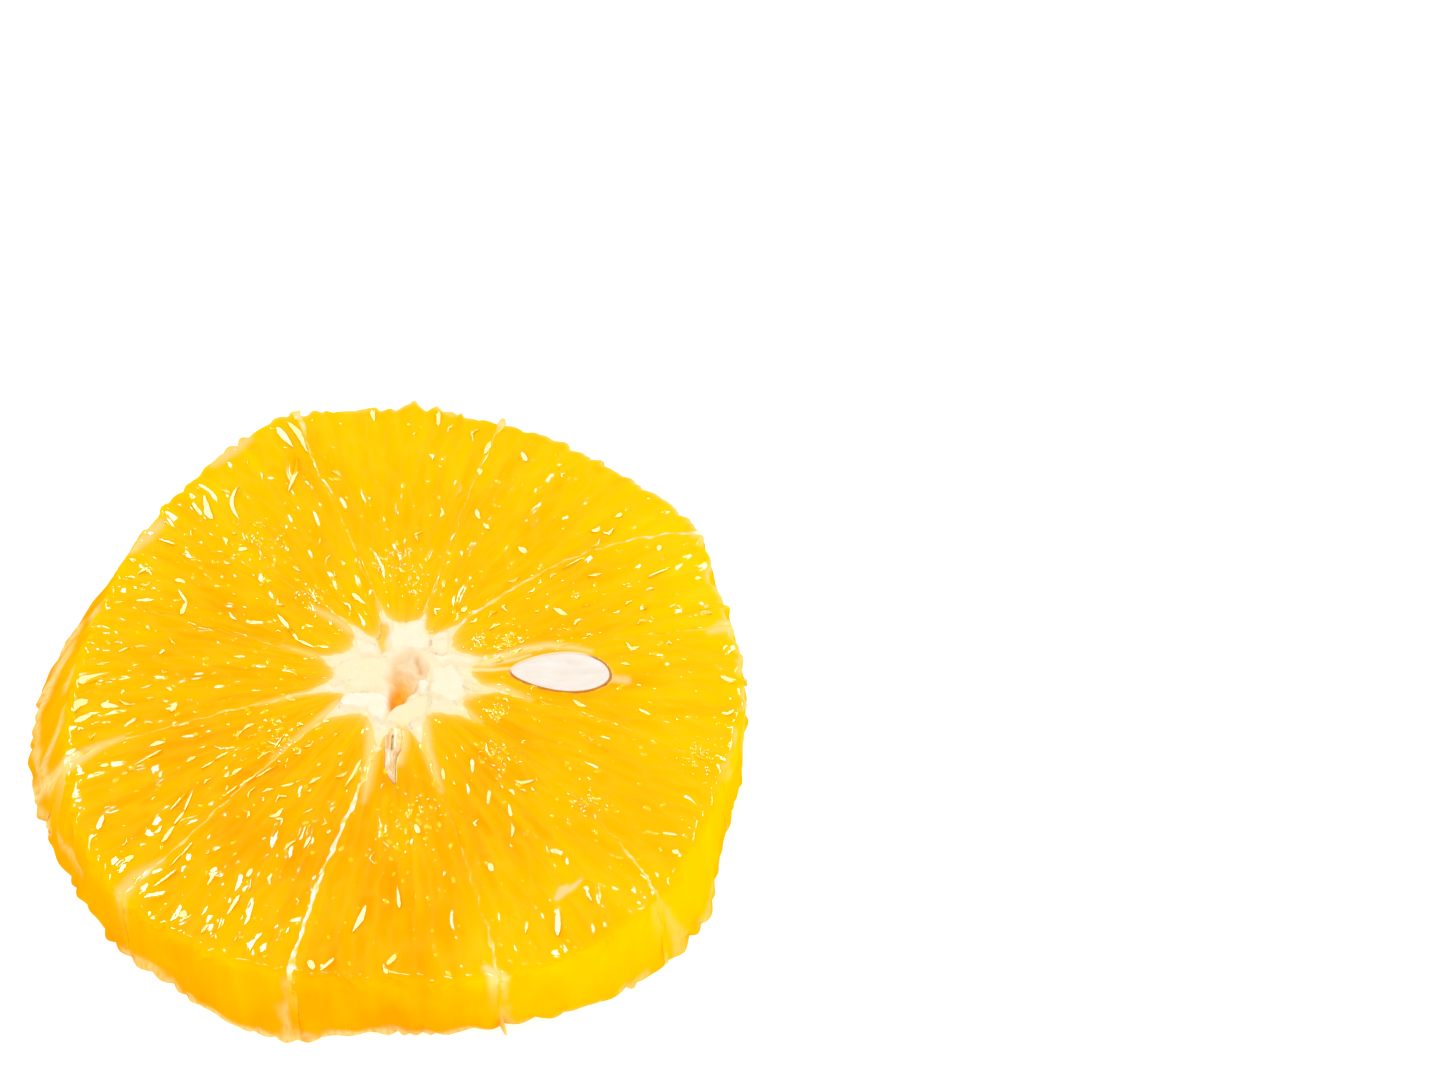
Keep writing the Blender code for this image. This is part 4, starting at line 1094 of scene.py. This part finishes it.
# ------------------------------------------------------------------ The pith
# The soft white core of the fruit, like damp bread, torn into blocks by the knife. It has
# drawn apart into a cleft in the middle, whose walls are peach to orange lower down.
PITH_RINGS, PITH_POINTS, PITH_WALL = 108, 504, 6
PITH_OVERLAP, PITH_TUCK = 0.3, 0.15         # how far it runs on under the flesh, and sinks there
PITH_SUNK = 0.12                # how low the pith lies between its blocks
BLOCK_EDGE, BLOCK_WAVES = 0.55, 0.16        # their round edges, and how uneven they run
BLOCKS = (      # each: height, how creamy it is, and its corners, counter-clockwise
    (0.32, 0.7, ((-6.2, 0.1), (-5.0, -1.3), (-2.4, -1.75), (-0.8, -1.4), (-1.1, 2.2), (-5.6, 1.8))),
    (0.4, 0.0, ((-5.4, -2.9), (-5.0, -3.6), (-3.1, -3.9), (-0.8, -3.4), (-0.6, -2.7), (-2.4, -2.0),
                (-4.9, -2.1))),
    (0.38, 0.1, ((-2.9, -3.4), (-2.4, -5.3), (-1.0, -5.4), (-0.7, -3.4), (-1.5, -2.8))),
    (0.3, 0.4, ((-4.4, 3.2), (-3.7, 2.55), (-2.0, 2.65), (-2.5, 3.7), (-3.6, 4.3), (-4.5, 4.5))),
    (0.34, 0.3, ((-0.9, 2.5), (1.4, 3.1), (3.1, 3.0), (3.1, 4.2), (2.4, 6.8), (-0.6, 6.6),
                 (-1.0, 4.7))),
    (0.32, 0.5, ((3.15, 3.9), (3.3, 2.8), (5.0, 2.9), (5.0, 5.3), (3.8, 5.4))),
    (0.28, 0.4, ((3.1, 2.5), (3.6, 1.6), (5.3, 1.4), (6.8, 1.0), (8.8, 2.0), (7.0, 2.4),
                 (5.2, 2.7))),
    (0.42, 0.0, ((2.05, -0.6), (2.15, -2.3), (3.1, -2.2), (3.35, -1.1), (2.7, -0.35))),
    (0.4, 0.3, ((3.45, 0.4), (3.5, -1.2), (4.0, -2.5), (5.9, -3.2), (6.9, -2.6), (6.9, -0.8),
                (5.6, 1.1), (4.3, 1.2))),
    (0.38, 0.8, ((-0.9, -4.9), (-0.7, -5.9), (1.0, -6.2), (2.5, -5.4), (3.1, -3.9), (3.3, -2.6),
                 (1.7, -2.7), (-0.1, -4.0))),
)
CLEFT = ((-0.3, -3.7, 0.2), (0.3, -2.0, 0.85), (1.0, 0.0, 1.5), (1.15, 1.3, 1.7))
CLEFT_DEPTH, CLEFT_SLOPE = 1.4, 0.45
NOTCH = ((-1.5, 3.1, 0.15), (-1.9, 4.6, 0.5), (-1.8, 6.0, 0.6))         # flesh between blocks
SLIT, SLIT_DEPTH = ((1.95, 2.6, 0.08), (2.0, 1.5, 0.14)), 0.25


def block_share(x, y, corners):
    """1 on a block of pith and 0 off it."""
    inside = np.full(np.shape(x), AWAY)
    for (ax, ay), (bx, by) in zip(corners, corners[1:] + corners[:1]):
        across = (bx - ax) * (y - ay) - (by - ay) * (x - ax)
        inside = np.minimum(inside, across / math.hypot(bx - ax, by - ay))
    return smooth(0.5 + inside / BLOCK_EDGE)


def lay_pith():
    """The points and faces of the star of pith, ring by ring from the middle, then its wall."""
    turn = np.arange(PITH_POINTS) / PITH_POINTS * math.tau
    wedge = np.minimum(WEDGES - 1, (turn / math.tau * WEDGES + 1e-6).astype(int)) + 1
    across = turn / math.tau * WEDGES - (wedge - 1)
    across -= 0.11 * np.sin(math.tau * across)          # more points at the cusps
    reach = pith_reach(wedge, across) + PITH_OVERLAP
    radius = reach * np.arange(1, PITH_RINGS + 1)[:, None] / PITH_RINGS
    near, far = membrane_angle(wedge, radius), membrane_angle(wedge + 1, radius)
    angle = near + (far - near) * across
    x = np.append((radius * np.cos(angle)).ravel(), 0.0)
    y = np.append((radius * np.sin(angle)).ravel(), 0.0)
    to_flesh = np.append((reach - PITH_OVERLAP - radius).ravel(), reach.min())

    wavy_x = x + BLOCK_WAVES * ripples(x, y, 1.9, 200)
    wavy_y = y + BLOCK_WAVES * ripples(x, y, 1.9, 201)
    height, block, creamy = np.zeros((3, len(x)))
    for block_height, block_creamy, corners in BLOCKS:
        share = block_share(wavy_x, wavy_y, corners)
        height, block = np.maximum(height, block_height * share), np.maximum(block, share)
        creamy = np.maximum(creamy, block_creamy * share)
    notch = brush(wavy_x, wavy_y, NOTCH, 0.3)
    relief = height - PITH_SUNK * (1.0 - block) * smooth(to_flesh / 1.2) - 0.3 * notch
    cleft = brush(wavy_x, wavy_y, CLEFT, CLEFT_SLOPE) * (1.0 - block)
    slit = brush(wavy_x, wavy_y, SLIT, 0.35)
    crumb = 0.035 * ripples(x, y, 0.9, 202) + 0.01 * ripples(x, y, 0.45, 203)
    relief += crumb * (1.0 - cleft) * smooth(to_flesh / 0.5)
    relief += 0.12 * ripples(x, y, 1.3, 204) * cleft
    relief -= CLEFT_DEPTH * cleft * (0.45 + 0.55 * smooth((3.4 - y) / 3.0)) + SLIT_DEPTH * slit
    relief -= PITH_TUCK * smooth(-to_flesh / PITH_OVERLAP)
    top = CUT_FACE + relief

    middle = PITH_RINGS * PITH_POINTS
    edge = np.arange(middle - PITH_POINTS, middle)
    wall = [np.stack((x[edge], y[edge], top[edge] * level), 1)
            for level in np.linspace(1.0, 0.0, PITH_WALL + 1)[1:]]
    points = np.concatenate([np.stack((x, y, top), 1), *wall])
    starts = [*range(0, middle, PITH_POINTS), *range(middle + 1, len(points), PITH_POINTS)]
    faces = join_rings(starts, PITH_POINTS, middle)

    # Between the blocks the pith is marked low, and is painted cream there as shade in its creases.
    marks = {"cleft": cleft, "creamy": creamy, "slit": slit, "notch": notch, "low": 1.0 - block}
    marks["deep"] = smooth((2.6 - y) / 5.0) * smooth((2.6 - x) / 2.4)
    near_flesh = 0.85 * np.exp(-np.maximum(to_flesh, 0.0) / 0.35)
    marks["rim"] = np.maximum(0.8 * smooth((np.hypot(x, y) - 6.2) / 2.5), near_flesh)
    hidden = np.zeros(len(points) - len(x))
    marks = {mark: np.append(values, hidden) for mark, values in marks.items()}
    return points, faces, {"grain": points, **marks}


pith_white, wire = new_finish("pith_white")
lumps = wire.along_grain(0.8, 0.8, 0.8, 4.0)
in_cleft = wire.painted("deep").ramped((
    (0.0, tone(250, 228, 190)), (0.4, tone(250, 208, 138)), (0.8, tone(255, 178, 0))))
# Painted shade: the pith is creamier where it lies low between its blocks.
colour = wire.layered(tone(252, 243, 222), (
    (tone(250, 235, 204), (lumps * 2.4 - 0.9).limited()),
    (tone(251, 232, 182), wire.painted("creamy")), (tone(252, 234, 190), wire.painted("low") * 0.7),
    (in_cleft, wire.painted("cleft")), (tone(236, 182, 112), wire.painted("slit") * 0.8),
    (CREAM, wire.painted("rim")), (tone(255, 205, 40), wire.painted("notch") * 0.9)))
normal = wire.bumped(wire.along_grain(3.0, 3.0, 3.0, 3.0), 0.06)
close_finish(wire, colour, {
    "Roughness": 0.7, "Specular IOR Level": 0.2, "Coat Weight": 0.2, "Coat Roughness": 0.2,
    "Normal": normal})
points, faces, marks = lay_pith()
make_piece("pith_star", points, faces, pith_white, marks, ["core"])

# ------------------------------------------------------------------ The cut seed
# A seed that the knife sliced lengthwise. The kernel is smooth, waxy and off-white, and lies
# in a papery brown coat that shows as a thin line round it.
SEED_POINTS = 120
KERNEL_DEPTH, KERNEL_ROUND = 2.3, 0.14      # the round is the radius of its face's edge
COAT_THICK, COAT_BELOW = 0.15, 0.2          # beside the kernel, and below it
COAT_STRAIGHT = 0.2             # its sides are straight so far down
KERNEL_PROUD, COAT_PROUD = 0.1, 0.08


def seed_ring(grow, share, z):
    """A ring of points round the seed: its outline, grown outwards and drawn in to a share."""
    turn = np.arange(SEED_POINTS) / SEED_POINTS * math.tau
    along, side = np.cos(turn), np.sin(turn)
    px, py = SEED_HALF_LENGTH * along, seed_half_width(along, side) * side
    run = np.roll(px, -1) - np.roll(px, 1), np.roll(py, -1) - np.roll(py, 1)
    size = np.hypot(*run)
    px, py = (px + grow * run[1] / size) * share, (py - grow * run[0] / size) * share
    return np.stack((SEED_MIDDLE[0] + px * SEED_COS - py * SEED_SIN,
                     SEED_MIDDLE[1] + px * SEED_SIN + py * SEED_COS, np.full(SEED_POINTS, z)), 1)


def bowl(grow, top, depth, start=0.12, end=1.5):
    """Rings of the seed's round underside, from one turn of its bow to another."""
    return [seed_ring(grow, math.cos(turn), top - depth * math.sin(turn))
            for turn in np.linspace(start, end, 12)]


def ringed(rings):
    """Points and faces of a closed form from its rings, with a point at either end."""
    points = np.concatenate([rings[0].mean(0)[None], *rings, rings[-1].mean(0)[None]])
    end = len(points) - 1
    return points, join_rings(range(1, end, SEED_POINTS), SEED_POINTS, 0, end)


kernel_face = CUT_FACE + KERNEL_PROUD
rings = [seed_ring(0.0, share, kernel_face) for share in np.linspace(0.04, 0.94, 26)]
for turn in np.linspace(0.0, math.pi / 2.0, 7):
    rings.append(seed_ring(-KERNEL_ROUND + KERNEL_ROUND * math.sin(turn), 1.0,
                           kernel_face - KERNEL_ROUND + KERNEL_ROUND * math.cos(turn)))
rings += bowl(0.0, kernel_face - KERNEL_ROUND, KERNEL_DEPTH)
points, faces = ringed(rings)
points[:, 2] += 0.025 * ripples(points[:, 0], points[:, 1], 2.2, 300) * (points[:, 2] > CUT_FACE)
marks = {"grain": points}
kernel_white, wire = new_finish("kernel_white")
colour = wire.mixed(tone(245, 237, 227), tone(236, 221, 203),
                    (wire.along_grain(0.5, 1.2, 1.0, 3.0) * 2.0 - 0.6).limited())
normal = wire.bumped(wire.along_grain(0.8, 1.6, 1.0, 3.0), 0.05)
close_finish(wire, colour, {
    "Specular IOR Level": 0.3, "Coat Weight": 0.2, "Coat Roughness": 0.2, "Normal": normal})
make_piece("kernel_half", points, faces, kernel_white, marks, ["seed_kernel"])

coat_face = CUT_FACE + COAT_PROUD
rings = bowl(-0.03, coat_face - COAT_STRAIGHT, KERNEL_DEPTH, 1.5, 0.12)     # its inside, upwards
rings += [seed_ring(-0.03, 1.0, coat_face), seed_ring(COAT_THICK / 2.0, 1.0, coat_face + 0.02),
          seed_ring(COAT_THICK, 1.0, coat_face)]
rings += bowl(COAT_THICK, coat_face - COAT_STRAIGHT, KERNEL_DEPTH + COAT_BELOW)
points, faces = ringed(rings)
side = (points[:, 1] - SEED_MIDDLE[1]) / SEED_HALF_WIDTHS[0]
outer_end = smooth((points[:, 0] - SEED_MIDDLE[0] - 2.2) / 1.2)
# The coat is painted pale on the seed's far side, but for its outer end, and brown on its near
# side.
marks = {"grain": points, "worn": smooth((side + 0.05) / 0.3) * (1.0 - outer_end)}
papery_coat, wire = new_finish("papery_coat")
colour = wire.mixed(tone(194, 112, 24), tone(222, 146, 48), wire.along_grain(1.0, 1.0, 1.0))
colour = wire.mixed(colour, tone(255, 226, 176), wire.painted("worn"))
close_finish(wire, colour, {
    "Roughness": 0.6, "Specular IOR Level": 0.1, "Coat Weight": 0.05, "Coat Roughness": 0.2})
make_piece("papery_coat", points, faces, papery_coat, marks, ["seed_coat"])

# ------------------------------------------------------------------ The empty seed
# A flat seed that never filled, cut through at the core's edge. Its two skins show as cream
# lips with a dark slit between them, and its tip as a pale, fleshy tongue.
SLIT_TOP, SLIT_END = -6.8, -8.9             # where the slit runs, from the core outwards
SLIT_PLACE, SLIT_HALF_WIDTH = -0.1, 0.075   # sideways from the seed's middle
TONGUE_START = -9.0
LINES, LINE_HALF_WIDTH = (-0.68, -0.5), 0.06        # thin brown edges of skin in the left lip
SLIVER_DEPTH = 2.0
SLIVER_ACROSS, SLIVER_OUT, SLIVER_UP = 40, 100, 6
u, v, w, faces = closed_lattice(SLIVER_ACROSS, SLIVER_OUT, SLIVER_UP)
path = np.array(SLIVER_PATH)
along = path[0, 1] + (path[-1, 1] - path[0, 1]) * v
middle = np.interp(-along, -path[:, 1], path[:, 0])
half = np.interp(-along, -path[:, 1], path[:, 2]) * (1.0 - 0.4 * (1.0 - w))
side = (2.0 * u - 1.0) * half
round_off = np.sqrt(np.clip(1.0 - (2.0 * u - 1.0) ** 4, 0.0, 1.0))
lips = smooth((TONGUE_START + 0.3 - along) / -0.4)
in_slit = (bell(side - SLIT_PLACE, SLIT_HALF_WIDTH)
           * smooth((SLIT_TOP - along) / 0.3) * smooth((along - SLIT_END) / 0.6))
in_lines = sum(bell(side - line, LINE_HALF_WIDTH) for line in LINES) * lips
top = CUT_FACE - 0.1 + 0.11 * round_off + 0.08 * (1.0 - lips) * round_off
top += 0.04 * ripples(side * 2.5, along, 0.9, 400) - 0.25 * in_slit - 0.05 * in_lines
points = np.stack((middle + side, along, top - SLIVER_DEPTH * (1.0 - w)), 1)
on_top = w > ON_FACE
marks = {
    "grain": points,
    "dark": in_slit * on_top,
    "line": in_lines * on_top,
    "tan": smooth((SLIT_PLACE - side) / 0.15) * smooth((side + 0.75) / 0.1) * lips,
    "white": bell(side - SLIT_PLACE - 0.24, 0.1) * lips,
    "fade": smooth((side - 0.25) / 0.5) * lips,
    "tongue": 1.0 - lips,
    "shade": smooth((side / np.maximum(half, 0.05) - 0.45) / 0.5) * (1.0 - lips),
}
sliver_skin, wire = new_finish("sliver_skin")
strands = (wire.along_grain(7.0, 0.6, 1.0) * 3.2 - 1.1).limited()
mottles = (wire.along_grain(1.4, 0.8, 1.0, 3.0) * 3.0 - 1.0).limited()
mottled = wire.mixed(tone(248, 220, 180), tone(236, 190, 120), mottles)
colour = wire.layered(tone(250, 216, 146), (
    (tone(246, 202, 112), wire.painted("tan")), (tone(254, 206, 84), wire.painted("fade")),
    (tone(253, 238, 196), strands * 0.6), (tone(255, 244, 226), wire.painted("white")),
    (mottled, wire.painted("tongue")), (tone(232, 170, 84), wire.painted("shade") * 0.5),
    (tone(208, 140, 66), wire.painted("line") * 0.6),
    (tone(158, 82, 22), (wire.painted("dark") * 1.4).limited())))
close_finish(wire, colour, {
    "Specular IOR Level": 0.2, "Coat Weight": 0.6, "Coat Roughness": 0.12})
make_piece("sliver_half", points, faces, sliver_skin, marks, ["seed_sliver"])
